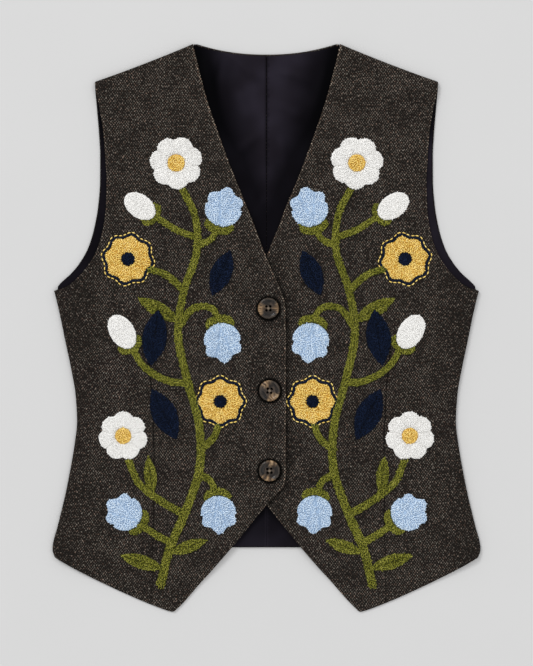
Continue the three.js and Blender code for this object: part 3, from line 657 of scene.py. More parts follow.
def horn_material():
    """Polished dark horn, ambered in a crescent at two opposite sides of the rim."""
    n = Nodes("horn_polished")
    local = n.attribute("local")  # mm from the button's middle, amber towards +x and -x; its own number in z
    bend = n.node("ShaderNodeVectorMath", {0: n.noise(local, 0.16, 1, 0.5, 1), 1: (0.5, 0.5, 0.5)}, operation="SUBTRACT").outputs[0]
    p = n.plus(local, n.scaled(bend, 7.0, 7.0, 0))
    x, y, _ = n.split(p)
    plain_x, plain_y, _ = n.split(local)
    radius = n.math("SQRT", n.math("ADD", n.math("MULTIPLY", plain_x, plain_x), n.math("MULTIPLY", plain_y, plain_y)))
    streak = n.noise(n.scaled(p, 0.14, 0.55, 1.0), 1.0, 1, 0.5)
    dark = n.ramp(streak, [(0.34, rgb(12, 10, 9)), (0.5, rgb(32, 27, 23)), (0.66, rgb(58, 49, 42))])
    # painted shade in a dark ring where the rim meets the dish, and a painted highlight on the rim itself
    dark = n.mix(n.math("MULTIPLY", n.step(n.math("ABSOLUTE", n.math("SUBTRACT", radius, 6.9)), 1.4, 0.2), 0.55), dark, rgb(13, 11, 10))
    dark = n.mix(n.math("MULTIPLY", n.step(radius, 8.3, 9.3), 0.5), dark, rgb(62, 55, 48))
    dark = n.mix(n.step(radius, 2.1, 0.5, 0.0, 0.8), dark, rgb(116, 102, 86))  # painted highlight between the holes
    reach = n.math("SUBTRACT", n.math("ABSOLUTE", x), n.math("MULTIPLY", n.math("ABSOLUTE", y), 0.6))
    broad = n.step(plain_x, 9.0, -6.0, 0.45, 1.0)  # one side is ambered further in than the other
    reach = n.math("ADD", reach, n.math("MULTIPLY", broad, 2.4))
    amber = n.math("MULTIPLY", n.step(reach, 3.0, 10.0), n.step(streak, 0.32, 0.5, 0.5, 1.0), clamp=True)
    colour = n.mix(amber, dark, n.ramp(streak, [(0.3, rgb(76, 57, 40)), (0.5, rgb(118, 94, 68)), (0.7, rgb(156, 132, 102))]))
    n.set(Base_Color=colour, Roughness=0.2, Specular_IOR_Level=0.22)
    return n.mat


TWEED = tweed_material("tweed_birdseye")
# the same tweed with a painted shadow ring round each button
TWEED_BUTTON_SHADOWED = tweed_material("tweed_birdseye_button_shadows", [(row[1], row[2]) for row in BUTTONS])
SATIN = lining_material()
HORN = horn_material()
YARN = {
    "green": yarn_material("yarn_green", rgb(58, 60, 14), rgb(116, 117, 38), rgb(160, 158, 70)),
    "blue": yarn_material("yarn_blue", rgb(148, 172, 199), rgb(203, 222, 241), rgb(225, 238, 249)),
    "white": yarn_material("yarn_white", rgb(216, 214, 211), rgb(232, 231, 228), rgb(240, 239, 237)),
    "yellow": yarn_material("yarn_yellow", rgb(190, 145, 56), rgb(242, 211, 115), rgb(255, 231, 155)),
    "navy": yarn_material("yarn_navy", rgb(6, 10, 20), rgb(12, 22, 42), rgb(26, 38, 64), sheen=0.02, shine=0.06),
    "dark": yarn_material("thread_dark", rgb(8, 7, 7), rgb(14, 13, 12), rgb(26, 24, 22), sheen=0.02, shine=0.1),
}


def dress(obj, material, nodes=()):
    obj.data.materials.clear()
    obj.data.materials.append(material)
    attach(obj, "root")
    if nodes:
        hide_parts(*nodes)
    return obj


# ================================================================ the cloth pieces
def closed_outline(half):
    """Both halves of a symmetric outline as one clockwise loop."""
    other = half[1:-1][::-1] * [-1, 1]
    return np.concatenate([half, other])


back = flat_panel(
    "tweed_back", closed_outline(back_outline(0, 0.12, 0, SEAM_LEG + SEAM_GAP, 0)), 0.0, BACK_WALL, 9.0,
    lambda x, y: 0.0 * x,
)
at = np.zeros(len(back.data.vertices) * 3, np.float32)
back.data.vertices.foreach_get("co", at)
bx, by = at[0::3] / MM, at[1::3] / MM
rim_line = closed_outline(back_outline(0, 0.12, 0, SEAM_LEG + SEAM_GAP, 0))
gap = np.full(len(bx), 1e9)
for px, py in rim_line:
    gap = np.minimum(gap, np.hypot(bx - px, by - py))
# painted shade: the back's tweed is darkened along its edge at the armholes and the hem, but not at the neck
put_attribute(back, "painted_edge_shade", 1.4 * np.exp(-((gap / 2.6) ** 2)) * ((np.abs(bx) > 78) | (by < 150)))
dress(back, TWEED, ["back"])

linings = {}
for side, sign in (("right", -1), ("left", 1)):
    half = back_outline(1.6, 0.3, 1.2, SEAM_LEG + SEAM_GAP + 0.3, 0.9)
    half[0, 0], half[-1, 0] = SEAM_GAP / 2, 0.04
    loop = half.copy()
    # the straight seam down the middle, in steps of its own
    seam_y = np.linspace(half[-1, 1], half[0, 1], 130)[1:-1]
    loop = np.concatenate([half, np.column_stack([np.where(seam_y < -120, 0.04, SEAM_GAP / 2), seam_y])])
    if sign < 0:
        loop = (loop * [-1, 1])[::-1]

    def lining_relief(x, y, sign=sign):
        # soft creases where the lining shows; the seam's ditch; and nothing where the fronts press on it
        shown = np.where(y > 80, smooth((edge_of(y) + 4 - np.abs(x)) / 10), smooth((edge_of(y) + 4 - np.abs(x)) / 10))
        ease = 2.2 * creases(x, y, LINING_CREASES) + 0.14 * waves(x, y, 31, 34)
        ditch = (-0.35 * np.exp(-((np.abs(x) / 1.6) ** 2)) + 0.18 * np.exp(-(((np.abs(x) - 3.2) / 1.6) ** 2))) * (y > 0)
        return np.maximum(ease, -0.5) * shown + ditch * smooth((shown - 0.1) / 0.4)

    lining = flat_panel("satin_lining_" + side, loop, LINING_Z, LINING_WALL, 2.4, lining_relief, fine=lambda x, y: (np.abs(x) < edge_of(y) + 9) & ((y > 0) | (y < -185)))
    at = np.zeros(len(lining.data.vertices) * 3, np.float32)
    lining.data.vertices.foreach_get("co", at)
    lx, ly = np.abs(at[0::3]) / MM, at[1::3] / MM
    inwards = (edge_of(ly) - lx) * 0.93  # from the fronts' edge towards the middle
    # painted shade: darkest close beside the fronts' edges in the neck, fading towards the middle
    above = 1 - smooth(inwards / 50) * (1 + 0.2 * smooth((ly - 262) / 16))
    # painted shade in the gap above the hem, darker near the fronts' edges and further up under them
    below = 0.38 + 0.1 * np.exp(-((np.maximum(inwards, 0) / 6) ** 3)) + 0.42 * smooth((ly + 222) / 42) - 0.3 * np.exp(-((lx / 1.2) ** 2))
    if sign < 0:  # painted shade in the armholes; this armhole is painted the darker one
        armhole = 0.62 + 0.3 * smooth((ly - 165) / 50) + 0.1 * smooth((130 - ly) / 30) - 0.12 * smooth((80 - ly) / 25)
    else:
        armhole = 0.13 + 0.7 * smooth((ly - 165) / 50) + 0.28 * smooth((105 - ly) / 40)
    # the satin is paler where a crease turns to the light and darker where it turns away
    px = at[0::3] / MM
    facing = creases(px + 1.7, ly - 1.7, LINING_CREASES) - creases(px - 1.7, ly + 1.7, LINING_CREASES)
    above = above - 0.6 * facing * smooth(inwards / 30)
    # painted shade, darker lower down in the neck opening
    above = np.minimum(above, 0.97 - 0.18 * smooth((215 - ly) / 50))
    above = np.where(lx > 100, armhole, above)
    lining_painted_shade = np.clip(np.where(ly > 0, above, below), -0.3, 0.97)
    # painted shade in the ditch down the middle, above the waist
    lining_painted_shade = np.maximum(lining_painted_shade, 0.9 * np.exp(-((lx / 0.8) ** 2)) * (ly > 0))
    put_attribute(lining, "lining_painted_shade", lining_painted_shade)
    dress(lining, SATIN, ["lining_" + side])
    linings[side] = lining

fronts = {}
for side, sign in (("left", 1), ("right", -1)):
    front = front_shell(side, sign)
    dress(front, TWEED_BUTTON_SHADOWED if sign < 0 else TWEED, ["front_" + side])
    fronts[side] = front


# ================================================================ embroidery
def lobes(a, count):
    return np.abs(np.cos(count / 2 * a)) ** 0.6


def ellipse(a, long, wide):
    return 0.5 / np.sqrt((np.cos(a) / long) ** 2 + (np.sin(a) / wide) ** 2)


def outline(kind, a, wide=0.155):
    a = np.asarray(a, float)
    if kind == "daisy":
        return 0.5 * (0.84 + 0.16 * lobes(a, 7))
    if kind == "rosette":
        return 0.5 * (0.94 + 0.06 * np.cos(8 * a))
    if kind == "tulip":
        t = np.arctan2(np.sin(a), np.cos(a))
        return ellipse(a, np.where(np.cos(a) > 0, 1, 0.86), 0.9) * np.where(np.abs(t) < 1.43, 1 + 0.1 * np.cos(6.545 * t), 1)
    if kind == "bud":
        return ellipse(a, 1, 0.66)
    if kind == "disc":
        return 0.5 + 0 * a
    c2, s = np.maximum(np.cos(a) ** 2, 1e-6), np.abs(np.sin(a))
    return (np.sqrt(s * s + 16 * wide * wide * c2) - s) / (8 * wide * c2)


class Shape:
    """A raised motif: how far inside it each point is, which way its yarn runs and how high it stands."""

    def field(self, u, y):
        raise NotImplementedError


class Patch(Shape):
    def __init__(self, kind, u, y, size, turn, wide=0.155):
        self.kind, self.u, self.y, self.size, self.turn, self.wide = kind, u, y, size, math.radians(turn), wide or 0.155

    def polar(self, u, y):
        dx, dy = u - self.u, y - self.y
        return np.hypot(dx, dy), np.arctan2(dy, dx) - self.turn

    def field(self, u, y):
        r, a = self.polar(u, y)
        inside = outline(self.kind, a, self.wide) * self.size - r
        run = a + self.turn
        level = np.ones_like(r)
        if self.kind == "daisy":
            notch = np.abs(np.cos(3.5 * a))
            level = np.where(r > 0.2 * self.size, 1 - 0.75 * np.exp(-((notch * r / 2.6) ** 2)), 1)
        if self.kind == "rosette":
            notch = np.abs(np.sin(4 * a))
            level = 1 - 0.45 * np.exp(-((np.abs(np.cos(4 * a)) * r / 2.2) ** 2)) * (r > 0.2 * self.size) + 0 * notch
        if self.kind == "tulip":
            t = np.arctan2(np.sin(a), np.cos(a))
            # two seams run from the foot up between the three petals
            x, h = r * np.cos(t) + 0.34 * self.size, r * np.sin(t)
            level = np.ones_like(r)
            for s in (-1, 1):
                level = np.minimum(level, 1 - 0.7 * np.exp(-(((h - s * 0.27 * np.maximum(x, 0)) / 1.0) ** 2)))
        if self.kind == "bud":
            level = 1 - 0.5 * np.exp(-((r * np.sin(a) / 0.9) ** 2)) * (r * np.cos(a) > -0.1 * self.size)
        if self.kind == "leaf":
            level = 1 - 0.6 * np.exp(-((r * np.sin(a) / 0.8) ** 2)) * (np.abs(r * np.cos(a)) < 0.36 * self.size)
            run = self.turn + np.where(np.sin(a) > 0, 0.7, -0.7)
        return inside, run, level


class Ribbon(Shape):
    def __init__(self, path, width0, width1):
        pts = np.array(path, float)
        self.p, self.half = self.trace(pts, width0, width1)
        d = np.gradient(self.p, axis=0)
        self.run = np.arctan2(d[:, 1], d[:, 0])

    @staticmethod
    def trace(pts, w0, w1):
        """Centripetal Catmull-Rom through the points, a millimetre or so apart."""
        ext = np.vstack([2 * pts[0] - pts[1], pts, 2 * pts[-1] - pts[-2]])
        out = []
        for i in range(1, len(ext) - 2):
            p0, p1, p2, p3 = ext[i - 1 : i + 3]
            t0 = 0.0
            t1 = t0 + np.linalg.norm(p1 - p0) ** 0.5
            t2 = t1 + np.linalg.norm(p2 - p1) ** 0.5
            t3 = t2 + np.linalg.norm(p3 - p2) ** 0.5
            n = max(4, int(np.linalg.norm(p2 - p1)))
            for t in np.linspace(t1, t2, n, endpoint=False):
                a1 = (t1 - t) / (t1 - t0) * p0 + (t - t0) / (t1 - t0) * p1
                a2 = (t2 - t) / (t2 - t1) * p1 + (t - t1) / (t2 - t1) * p2
                a3 = (t3 - t) / (t3 - t2) * p2 + (t - t2) / (t3 - t2) * p3
                b1 = (t2 - t) / (t2 - t0) * a1 + (t - t0) / (t2 - t0) * a2
                b2 = (t3 - t) / (t3 - t1) * a2 + (t - t1) / (t3 - t1) * a3
                out.append((t2 - t) / (t2 - t1) * b1 + (t - t1) / (t2 - t1) * b2)
        out.append(pts[-1])
        out = np.array(out)
        s = np.concatenate([[0], np.cumsum(np.linalg.norm(np.diff(out, axis=0), axis=1))])
        return out, (w0 + (w1 - w0) * s / s[-1]) / 2

    def field(self, u, y):
        best = np.full(u.shape, 1e9)
        which = np.zeros(u.shape, int)
        for i, (px, py) in enumerate(self.p):
            d = np.hypot(u - px, y - py) - self.half[i]
            m = d < best
            best[m], which[m] = d[m], i
        return -best, self.run[which], np.ones_like(best)


PATCH = {row[0]: Patch(row[1], *row[2:]) for row in PATCHES}
GREENS = [Ribbon(*row) for row in STEMS]
for foot_u, foot_y, length, turn in LEAVES:
    t = math.radians(turn)
    GREENS.append(Patch("leaf", foot_u + length / 2 * math.cos(t), foot_y + length / 2 * math.sin(t), length, turn))
CUPS = []
for row in PATCHES:
    if row[1] in ("tulip", "bud"):
        t, back_by = math.radians(row[5]), row[4] * 0.4
        CUPS.append(Patch("bud", row[2] - back_by * math.cos(t), row[3] - back_by * math.sin(t), row[4] * 0.72, row[5] + 90))
for cup in CUPS:
    cup.kind = "cup"
_outline = outline


def outline(kind, a, wide=0.155):
    return _outline("bud" if kind == "cup" else kind, a, wide)


GREENS += CUPS


def scatter(pitch, box, jitter, generator):
    """Points on a loose triangular lattice."""
    xs = np.arange(box[0], box[1], pitch)
    ys = np.arange(box[2], box[3], pitch * 0.866)
    gx, gy = np.meshgrid(xs, ys)
    gx = gx + (np.arange(len(ys)) % 2)[:, None] * pitch / 2
    u, y = gx.ravel(), gy.ravel()
    return u + generator.uniform(-jitter, jitter, u.shape) * pitch, y + generator.uniform(-jitter, jitter, u.shape) * pitch


def combined(shapes, u, y, keep_out=(), gap=0.25):
    inside = np.full(u.shape, -1e9)
    run, level = np.zeros_like(u), np.ones_like(u)
    for s in shapes:
        d, r, l = s.field(u, y)
        m = d > inside
        inside[m], run[m], level[m] = d[m], r[m], l[m]
    for s in keep_out:
        d, _, _ = s.field(u, y)
        inside = np.minimum(inside, -d - gap)
    return inside, run, level


def loops(name, sign, u, y, inside, run, level, tall, wide, thick, lean, generator, curl=0.5):
    """Yarn loops standing on a front's face: arches of four-sided yarn, smooth shaded."""
    n = len(u)
    z = face_of(u, y, sign) + SEAM_GAP
    dome = 0.5 + 0.5 * smooth(inside / 2.6)
    foot = z + 0.75 * dome * level
    height = tall * dome * (0.45 + 0.55 * level) * generator.uniform(0.78, 1.2, n)
    half = wide * generator.uniform(0.75, 1.25, n) * (0.8 + 0.2 * dome)
    turn = run + generator.normal(0, 0.75, n)
    r = thick * generator.uniform(0.85, 1.15, n)
    ts = np.linspace(0, math.pi, 5)
    ca, sa = np.cos(turn), np.sin(turn)
    # the arch leans a little, each its own way
    lean_a = generator.uniform(0, 2 * math.pi, n)
    lean_by = lean * generator.uniform(0, 1, n)
    lx, ly = np.cos(lean_a) * lean_by, np.sin(lean_a) * lean_by
    twist = curl * generator.uniform(-1, 1, n)
    centre = np.zeros((n, 5, 3))
    tangent = np.zeros((n, 5, 3))
    for k, t in enumerate(ts):
        a = -np.cos(t) * half
        b = np.sin(2 * t) * half * twist
        h = np.sin(t)
        centre[:, k, 0] = a * ca - b * sa + lx * h * height
        centre[:, k, 1] = a * sa + b * ca + ly * h * height
        centre[:, k, 2] = h * height - 0.25
        da, db, dh = np.sin(t) * half, 2 * np.cos(2 * t) * half * twist, np.cos(t) * height
        tangent[:, k, 0], tangent[:, k, 1], tangent[:, k, 2] = da * ca - db * sa, da * sa + db * ca, dh
    tangent /= np.linalg.norm(tangent, axis=2, keepdims=True)
    side = np.stack([-sa, ca, np.zeros(n)], 1)[:, None, :] + 0 * tangent
    up = np.cross(tangent, side)
    up /= np.linalg.norm(up, axis=2, keepdims=True)
    side = np.cross(up, tangent)
    pts = np.zeros((n, 5, 4, 3))
    for k in range(4):
        a = math.pi / 4 + k * math.pi / 2
        pts[:, :, k, :] = centre + (math.cos(a) * side + math.sin(a) * up) * r[:, None, None]
    pts[..., 0] += u[:, None, None]
    pts[..., 1] += y[:, None, None]
    pts[..., 2] += foot[:, None, None]
    pts[..., 0] *= sign
    base = (np.arange(n) * 20)[:, None]
    faces = []
    for k in range(4):
        for j in range(4):
            i = (j + 1) % 4
            quad = [k * 4 + j, k * 4 + i, (k + 1) * 4 + i, (k + 1) * 4 + j]
            faces.append(base + quad)
    faces += [base + [3, 2, 1, 0], base + [16, 17, 18, 19]]
    faces = np.concatenate(faces)
    if sign < 0:
        faces = faces[:, ::-1]
    # each loop's own tone, with painted shade in the grooves of a motif and at the foot of each loop
    own = 0.5 + generator.normal(0, 0.16, n) - 0.45 * (1 - level)
    shade = own[:, None, None] + np.sin(ts)[None, :, None] * 0.3 - 0.2 + np.zeros((n, 5, 4))
    return pts.reshape(-1, 3), faces, shade.ravel()


def bed(shape, sign, n_around=72, under=()):
    """The stitched ground under a patch's loops: a low closed dome, sunk where another motif covers it."""
    a = np.linspace(0, 2 * math.pi, n_around, endpoint=False)
    r = outline(shape.kind, a, shape.wide) * shape.size
    rings = [(0.5, -0.25), (0.99, -0.25), (0.99, 0.3), (0.95, 0.75), (0.86, 1.0), (0.7, 1.05), (0.5, 1.05), (0.3, 1.05), (0.12, 1.05)]
    verts = []
    for k, lift in rings:
        u, y = shape.u + k * r * np.cos(a + shape.turn), shape.y + k * r * np.sin(a + shape.turn)
        _, _, level = shape.field(u, y)
        top = lift * np.where(lift > 0, 0.35 + 0.65 * level, 1)
        for other in under:
            covered, _, _ = other.field(u, y)
            top = np.where((covered > -0.4) & (top > -0.2), -0.2, top)
        verts.append(np.stack([sign * u, y, face_of(u, y, sign) + top], 1))
    c = np.array([[sign * shape.u, shape.y, float(face_of(np.array(shape.u, float), np.array(shape.y, float), sign))]])
    verts += [c + [0, 0, -0.25], c + [0, 0, 1.05]]
    faces, tris, n = [], [], n_around
    i = np.arange(n)
    j = (i + 1) % n
    for k in range(len(rings) - 1):
        faces.append(np.stack([k * n + i, k * n + j, (k + 1) * n + j, (k + 1) * n + i], 1))
    last = len(rings) * n
    tris.append(np.stack([j, i, np.full(n, last)], 1))
    tris.append(np.stack([(len(rings) - 1) * n + i, (len(rings) - 1) * n + j, np.full(n, last + 1)], 1))
    q, t = np.concatenate(faces), np.concatenate(tris)
    if sign < 0:
        q, t = q[:, ::-1], t[:, ::-1]
    return np.concatenate(verts), q, t


def ribbon_bed(shape, sign, under=()):
    p, half, run = shape.p[::2], shape.half[::2], shape.run[::2]
    if len(shape.p) % 2 == 0:
        p, half, run = np.vstack([p, shape.p[-1]]), np.append(half, shape.half[-1]), np.append(run, shape.run[-1])
    section = [(-1, -0.25), (-1, 0.35), (-0.75, 0.95), (-0.25, 1.15), (0.25, 1.15), (0.75, 0.95), (1, 0.35), (1, -0.25), (0, -0.25)]
    n, m = len(p), len(section)
    verts = np.zeros((n, m, 3))
    for k, (s, lift) in enumerate(section):
        u, y = p[:, 0] - np.sin(run) * half * 0.97 * s, p[:, 1] + np.cos(run) * half * 0.97 * s
        for other in under:
            covered, _, _ = other.field(u, y)
            lift = np.where(covered > -0.4, -0.2 if s else -0.25, lift)
        verts[:, k] = np.stack([sign * u, y, face_of(u, y, sign) + lift], 1)
    i = np.arange(n - 1)[:, None] * m
    q = np.concatenate([np.concatenate([i + k, i + (k + 1) % m, i + m + (k + 1) % m, i + m + k], 1) for k in range(m)])
    ends = []
    mid = n * m
    verts = np.concatenate([verts.reshape(-1, 3), verts[0].mean(0)[None], verts[-1].mean(0)[None]])
    for k in range(m):
        ends += [(mid, (k + 1) % m, k), (mid + 1, (n - 1) * m + k, (n - 1) * m + (k + 1) % m)]
    t = np.array(ends)
    if sign > 0:
        q, t = q[:, ::-1], t[:, ::-1]
    return verts, q, t


def pile(name, sign, shapes, beds, slot, nodes, seed, pitch=1.62, tall=1.55, wide=0.8, thick=0.36, lean=0.45, keep_out=(), only=None, curl=0.5, fringe=0.15, lowest=0.25, ground=0.02):
    """All the pile of one colour on one front: low grounds with the loops standing on them, as one mesh."""
    generator = np.random.default_rng(seed)
    u, y = scatter(pitch, (10, 185, -275, 205), 0.27, generator)
    inside, run, level = combined(shapes, u, y, keep_out)
    m = (inside > 0.35 + generator.uniform(-fringe, fringe, u.shape)) & (generator.uniform(0, 1, u.shape) < lowest + (1.05 - lowest) * level)
    if only is not None:
        m &= only(u, y)
    verts, quads, shade = loops(name, sign, u[m], y[m], inside[m], run[m], level[m], tall, wide, thick, lean, generator, curl)
    vs, qs, ts, sh = [verts], [quads], [], [shade]
    at = len(verts)
    for shape in beds:
        if isinstance(shape, Ribbon):
            v, q, t = ribbon_bed(shape, sign, under=keep_out)
        else:
            v, q, t = bed(shape, sign, under=keep_out)
        vs.append(v)
        qs.append(q + at)
        ts.append(t + at)
        # the grounds take a low value on the ramp: painted shade between the loops
        sh.append(np.full(len(v), ground))
        at += len(v)
    obj = mesh_object(name, np.concatenate(vs), [np.concatenate(qs), np.concatenate(ts)] if ts else np.concatenate(qs))
    put_attribute(obj, "shade", np.concatenate(sh))
    count = sum(len(g) * 2 for g in qs) + sum(len(g) for g in ts)
    print(name, "loops", int(m.sum()), "triangles", count)
    dress(obj, YARN[slot], nodes)
    return obj


def strand(path, radius, sides=6, closed=False):
    """A tube along 3-D points (mm)."""
    path = np.asarray(path, float)
    d = np.roll(path, -1, 0) - np.roll(path, 1, 0) if closed else np.gradient(path, axis=0)
    d /= np.linalg.norm(d, axis=1, keepdims=True)
    side = np.cross(d, [0, 0, 1.0])
    side /= np.maximum(np.linalg.norm(side, axis=1, keepdims=True), 1e-9)
    up = np.cross(side, d)
    n = len(path)
    rad = np.broadcast_to(np.asarray(radius, float), (n,))
    a = np.arange(sides) * 2 * math.pi / sides
    v = path[:, None, :] + rad[:, None, None] * (np.cos(a)[None, :, None] * side[:, None, :] + np.sin(a)[None, :, None] * up[:, None, :])
    rows = n if closed else n - 1
    i = np.arange(rows)[:, None] * sides
    i2 = ((np.arange(rows) + 1) % n)[:, None] * sides
    q = np.concatenate([np.concatenate([i + k, i + (k + 1) % sides, i2 + (k + 1) % sides, i2 + k], 1) for k in range(sides)])
    v = v.reshape(-1, 3)
    t = np.zeros((0, 3), int)
    if not closed:
        v = np.concatenate([v, path[:1], path[-1:]])
        e = []
        for k in range(sides):
            e += [(n * sides, (k + 1) % sides, k), (n * sides + 1, (n - 1) * sides + k, (n - 1) * sides + (k + 1) % sides)]
        t = np.array(e)
    return v, q, t


def joined(name, parts, shades, material, nodes=()):
    vs, qs, ts, sh, at = [], [], [], [], 0
    for (v, q, t), s in zip(parts, shades):
        vs.append(v)
        qs.append(q + at)
        if len(t):
            ts.append(t + at)
        sh.append(np.full(len(v), s))
        at += len(v)
    obj = mesh_object(name, np.concatenate(vs), [np.concatenate(qs)] + ([np.concatenate(ts)] if ts else []))
    bm = bmesh.new()
    bm.from_mesh(obj.data)
    bmesh.ops.recalc_face_normals(bm, faces=bm.faces)
    bm.to_mesh(obj.data)
    bm.free()
    put_attribute(obj, "shade", np.concatenate(sh))
    dress(obj, material, nodes)
    return obj


def rosette_trim(side, sign):
    """A navy two-ply cord couched round each rosette, and a ring of yellow stitches outside it."""
    generator = np.random.default_rng(90 + sign)
    cords, dashes = [], []
    for key in ("rosette_side", "rosette_inner"):
        s = PATCH[key]
        a = np.linspace(0, 2 * math.pi, 330, endpoint=False)
        r = outline("rosette", a) * s.size + 1.1
        u, y = s.u + r * np.cos(a + s.turn), s.y + r * np.sin(a + s.turn)
        for phase in (0, math.pi):
            twist = 40 * a + phase
            rr = r + 0.42 * np.cos(twist)
            uu, yy = s.u + rr * np.cos(a + s.turn), s.y + rr * np.sin(a + s.turn)
            z = face_of(u, y, sign) + 0.75 + 0.42 * np.sin(twist)
            cords.append(strand(np.stack([sign * uu, yy, z], 1), 0.62, 6, True))
        ring = r + 2.5
        n = int(2 * math.pi * ring.mean() / 4.6)
        for k in range(n):
            a0 = 2 * math.pi * (k + generator.uniform(-0.12, 0.12)) / n
            reach_a = 1.45 / ring.mean()
            aa = np.linspace(a0 - reach_a, a0 + reach_a, 6)
            rr = outline("rosette", aa) * s.size + 3.5
            uu, yy = s.u + rr * np.cos(aa + s.turn), s.y + rr * np.sin(aa + s.turn)
            z = face_of(uu, yy, sign) + np.array([-0.2, 0.3, 0.55, 0.55, 0.3, -0.2])
            dashes.append(strand(np.stack([sign * uu, yy, z], 1), np.array([0.35, 0.5, 0.55, 0.55, 0.5, 0.35]), 6))
    joined("cord_navy_" + side, cords, [0.45] * len(cords), YARN["navy"])
    joined("stitches_yellow_" + side, dashes, list(0.5 + generator.normal(0, 0.1, len(dashes))), YARN["yellow"])


daisies, rosettes = ["daisy_top", "daisy_side"], ["rosette_side", "rosette_inner"]
tulips = ["tulip_neck", "tulip_waist", "tulip_hem", "tulip_side"]
buds, blades = ["bud_side", "bud_shoulder"], ["leaf_bust", "leaf_waist", "leaf_chest"]
HEARTS = [Patch("disc", PATCH[k].u, PATCH[k].y, 0.28 * PATCH[k].size, 0) for k in rosettes]
EYES = [Patch("disc", PATCH[k].u, PATCH[k].y, 0.33 * PATCH[k].size, 0) for k in daisies]
for side, sign in (("right", -1), ("left", 1)):
    seed = 100 * (2 + sign)
    named = lambda keys: [k + "_" + side for k in keys]
    shapes = lambda keys: [PATCH[k] for k in keys]
    everything = list(PATCH.values())
    pile("pile_green_" + side, sign, GREENS, GREENS, "green", ["vine_" + side], seed + 1, keep_out=everything, pitch=1.88, thick=0.47, wide=1.1, tall=1.5)
    pile(
        "pile_white_" + side, sign, shapes(daisies + buds), shapes(daisies + buds), "white", named(daisies + buds), seed + 2,
        pitch=1.5, thick=0.53, wide=0.96, tall=0.85, keep_out=EYES, ground=0.35,
    )
    pile("pile_blue_" + side, sign, shapes(tulips), shapes(tulips), "blue", named(tulips), seed + 3, pitch=1.8, thick=0.43, wide=1.08, tall=1.4)
    pile(
        "pile_yellow_" + side, sign, shapes(rosettes) + EYES, shapes(rosettes) + EYES, "yellow", named(rosettes), seed + 4,
        pitch=1.75, thick=0.42, wide=1.0, tall=1.4, keep_out=HEARTS,
    )
    pile(
        "pile_navy_" + side, sign, shapes(blades) + HEARTS, shapes(blades) + HEARTS, "navy", named(blades), seed + 5,
        pitch=1.62, tall=0.8, wide=0.92, thick=0.47, lean=0.2, curl=0.2,
    )
    rosette_trim(side, sign)


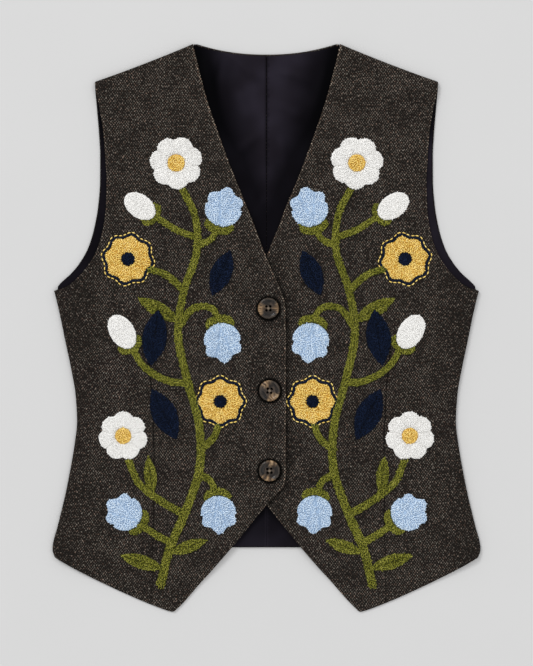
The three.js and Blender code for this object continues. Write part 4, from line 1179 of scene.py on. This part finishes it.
# ================================================================ buttons
def button(name, x, y, turn, amber):
    across, thick_mm = 21.5, 3.6
    R, T = across / 2, thick_mm
    profile = [(0, 0)]
    profile += [(R - 2.2, 0), (R - 1.5, 0.12), (R - 0.8, 0.5), (R - 0.3, 1.1), (R, 1.9), (R - 0.12, 2.5), (R - 0.45, 3.05), (R - 0.95, 3.45), (R - 1.45, T)]
    profile += [(R - 2.0, T - 0.06), (R - 2.5, T - 0.3), (R - 3.0, T - 0.68), (R - 3.6, T - 0.98), (R - 4.6, T - 1.14), (R - 6.5, T - 1.2), (0, T - 1.2)]
    bm = bmesh.new()
    vs = [bm.verts.new((r * MM, 0, z * MM)) for r, z in profile]
    es = [bm.edges.new((a, b)) for a, b in zip(vs, vs[1:])]
    bmesh.ops.spin(bm, geom=vs + es, cent=(0, 0, 0), axis=(0, 0, 1), angle=2 * math.pi, steps=96, use_duplicate=False)
    bmesh.ops.remove_doubles(bm, verts=bm.verts, dist=1e-6)
    bmesh.ops.recalc_face_normals(bm, faces=bm.faces)
    me = bpy.data.meshes.new("horn_" + name)
    bm.to_mesh(me)
    bm.free()
    obj = bpy.data.objects.new("horn_" + name, me)
    bpy.context.scene.collection.objects.link(obj)
    # four flared holes
    bm = bmesh.new()
    for sx, sy in ((-1, -1), (1, -1), (1, 1), (-1, 1)):
        cx, cy = sx * 1.95, sy * 1.95
        prof = [(0, -1), (1.2, -1), (1.2, T - 1.6), (1.28, T - 1.4), (1.42, T - 1.2), (1.6, T + 1), (0, T + 1)]
        vs = [bm.verts.new(((cx + r) * MM, cy * MM, z * MM)) for r, z in prof]
        es = [bm.edges.new((a, b)) for a, b in zip(vs, vs[1:])]
        bmesh.ops.spin(bm, geom=vs + es, cent=(cx * MM, cy * MM, 0), axis=(0, 0, 1), angle=2 * math.pi, steps=24, use_duplicate=False)
    bmesh.ops.remove_doubles(bm, verts=bm.verts, dist=1e-6)
    bmesh.ops.recalc_face_normals(bm, faces=bm.faces)
    cutter_mesh = bpy.data.meshes.new("cutter")
    bm.to_mesh(cutter_mesh)
    bm.free()
    cutter = bpy.data.objects.new("cutter", cutter_mesh)
    bpy.context.scene.collection.objects.link(cutter)
    mod = obj.modifiers.new("holes", "BOOLEAN")
    mod.operation, mod.object, mod.solver = "DIFFERENCE", cutter, "EXACT"
    deps = bpy.context.evaluated_depsgraph_get()
    done = bpy.data.meshes.new_from_object(obj.evaluated_get(deps))
    obj.modifiers.clear()
    obj.data = done
    bpy.data.objects.remove(cutter)
    # the amber lies its own way in each button
    n = len(done.vertices)
    co = np.zeros(n * 3, np.float32)
    done.vertices.foreach_get("co", co)
    co = co.reshape(-1, 3) / MM
    ca, sa = math.cos(amber), math.sin(amber)
    local = np.stack([co[:, 0] * ca + co[:, 1] * sa, -co[:, 0] * sa + co[:, 1] * ca, np.full(n, 9.0 + 3.0 * amber)], 1)
    put_attribute(obj, "local", local, "FLOAT_VECTOR")
    z0 = float(underside(-x, np.array(y), True)) + FRONT_WALL + SEAM_GAP - 0.55
    c, s = math.cos(turn), math.sin(turn)
    x2, y2 = co[:, 0] * c - co[:, 1] * s, co[:, 0] * s + co[:, 1] * c
    done.vertices.foreach_set("co", (np.stack([x2 + x, y2 + y, co[:, 2] + z0], 1) * MM).astype(np.float32).ravel())
    bm = bmesh.new()
    bm.from_mesh(done)
    for f in bm.faces:
        f.smooth = True
    for e in bm.edges:
        e.smooth = not (len(e.link_faces) == 2 and e.calc_face_angle(0) > math.radians(38))
    bm.to_mesh(done)
    bm.free()
    dress(obj, HORN, [name])
    # the sewing thread, deep in the holes
    parts = []
    for sx, sy in ((-1, -1), (1, -1), (1, 1), (-1, 1)):
        cx, cy = sx * 1.95, sy * 1.95
        px, py = cx * c - cy * s + x, cx * s + cy * c + y
        for dx in (-0.35, 0.35):
            zs = np.linspace(z0 - 0.9, z0 + 0.7, 5)
            parts.append(strand(np.stack([np.full(5, px + dx), np.full(5, py + dx * 0.4), zs], 1) + np.array([[1e-4 * k, 0, 0] for k in range(5)]), 0.32, 6))
    joined("thread_" + name, parts, [0.4] * len(parts), YARN["dark"])
    return obj


for name, x, y, turn, amber in BUTTONS:
    button(name, x, y, turn, amber)

# ================================================================ floor, light and camera
def floor_material():
    n = Nodes("floor_pale")
    where = n.node("ShaderNodeNewGeometry").outputs["Position"]
    tone = n.noise(where, 9.0, 2, 0.5)
    n.set(Base_Color=n.mix(tone, rgb(191, 191, 191), rgb(193, 193, 193)), Roughness=0.95, Specular_IOR_Level=0.1)
    return n.mat


bm = bmesh.new()
bmesh.ops.create_grid(bm, x_segments=8, y_segments=8, size=3.0)
me = bpy.data.meshes.new("floor")
bm.to_mesh(me)
bm.free()
floor = bpy.data.objects.new("floor", me)
floor.location.z = -0.0003
bpy.context.scene.collection.objects.link(floor)
floor.data.materials.append(floor_material())

world = bpy.data.worlds.new("studio")
bpy.context.scene.world = world
world.use_nodes = True
world.node_tree.nodes["Background"].inputs[0].default_value = (1.0, 1.0, 1.0, 1.0)
world.node_tree.nodes["Background"].inputs[1].default_value = 0.93


def area_light(name, where, size, watts, tint=(1, 1, 1)):
    data = bpy.data.lights.new(name, "AREA")
    data.shape, data.size, data.energy, data.color = "SQUARE", size, watts, tint
    lamp = bpy.data.objects.new(name, data)
    lamp.location = where
    lamp.rotation_euler = (Vector((0, 0, 0)) - Vector(where)).to_track_quat("-Z", "Y").to_euler()
    bpy.context.scene.collection.objects.link(lamp)
    return lamp


area_light("key", (-4.6, 6.2, 7.0), 3.2, 452)
area_light("fill", (3.6, -2.0, 6.0), 4.0, 50)
area_light("rim", (4.2, 4.8, 7.0), 1.7, 56)

camera_data = bpy.data.cameras.new("camera")
camera_data.lens, camera_data.sensor_width = 106.0, 36.0
camera_data.clip_end = 20
camera = bpy.data.objects.new("camera", camera_data)
camera.location = (0.0, -0.0052, 2.003)
camera.rotation_euler = (0, 0, 0)
bpy.context.scene.collection.objects.link(camera)
bpy.context.scene.camera = camera
bpy.context.scene.view_settings.view_transform = "Standard"
bpy.context.scene.view_settings.look = "None"
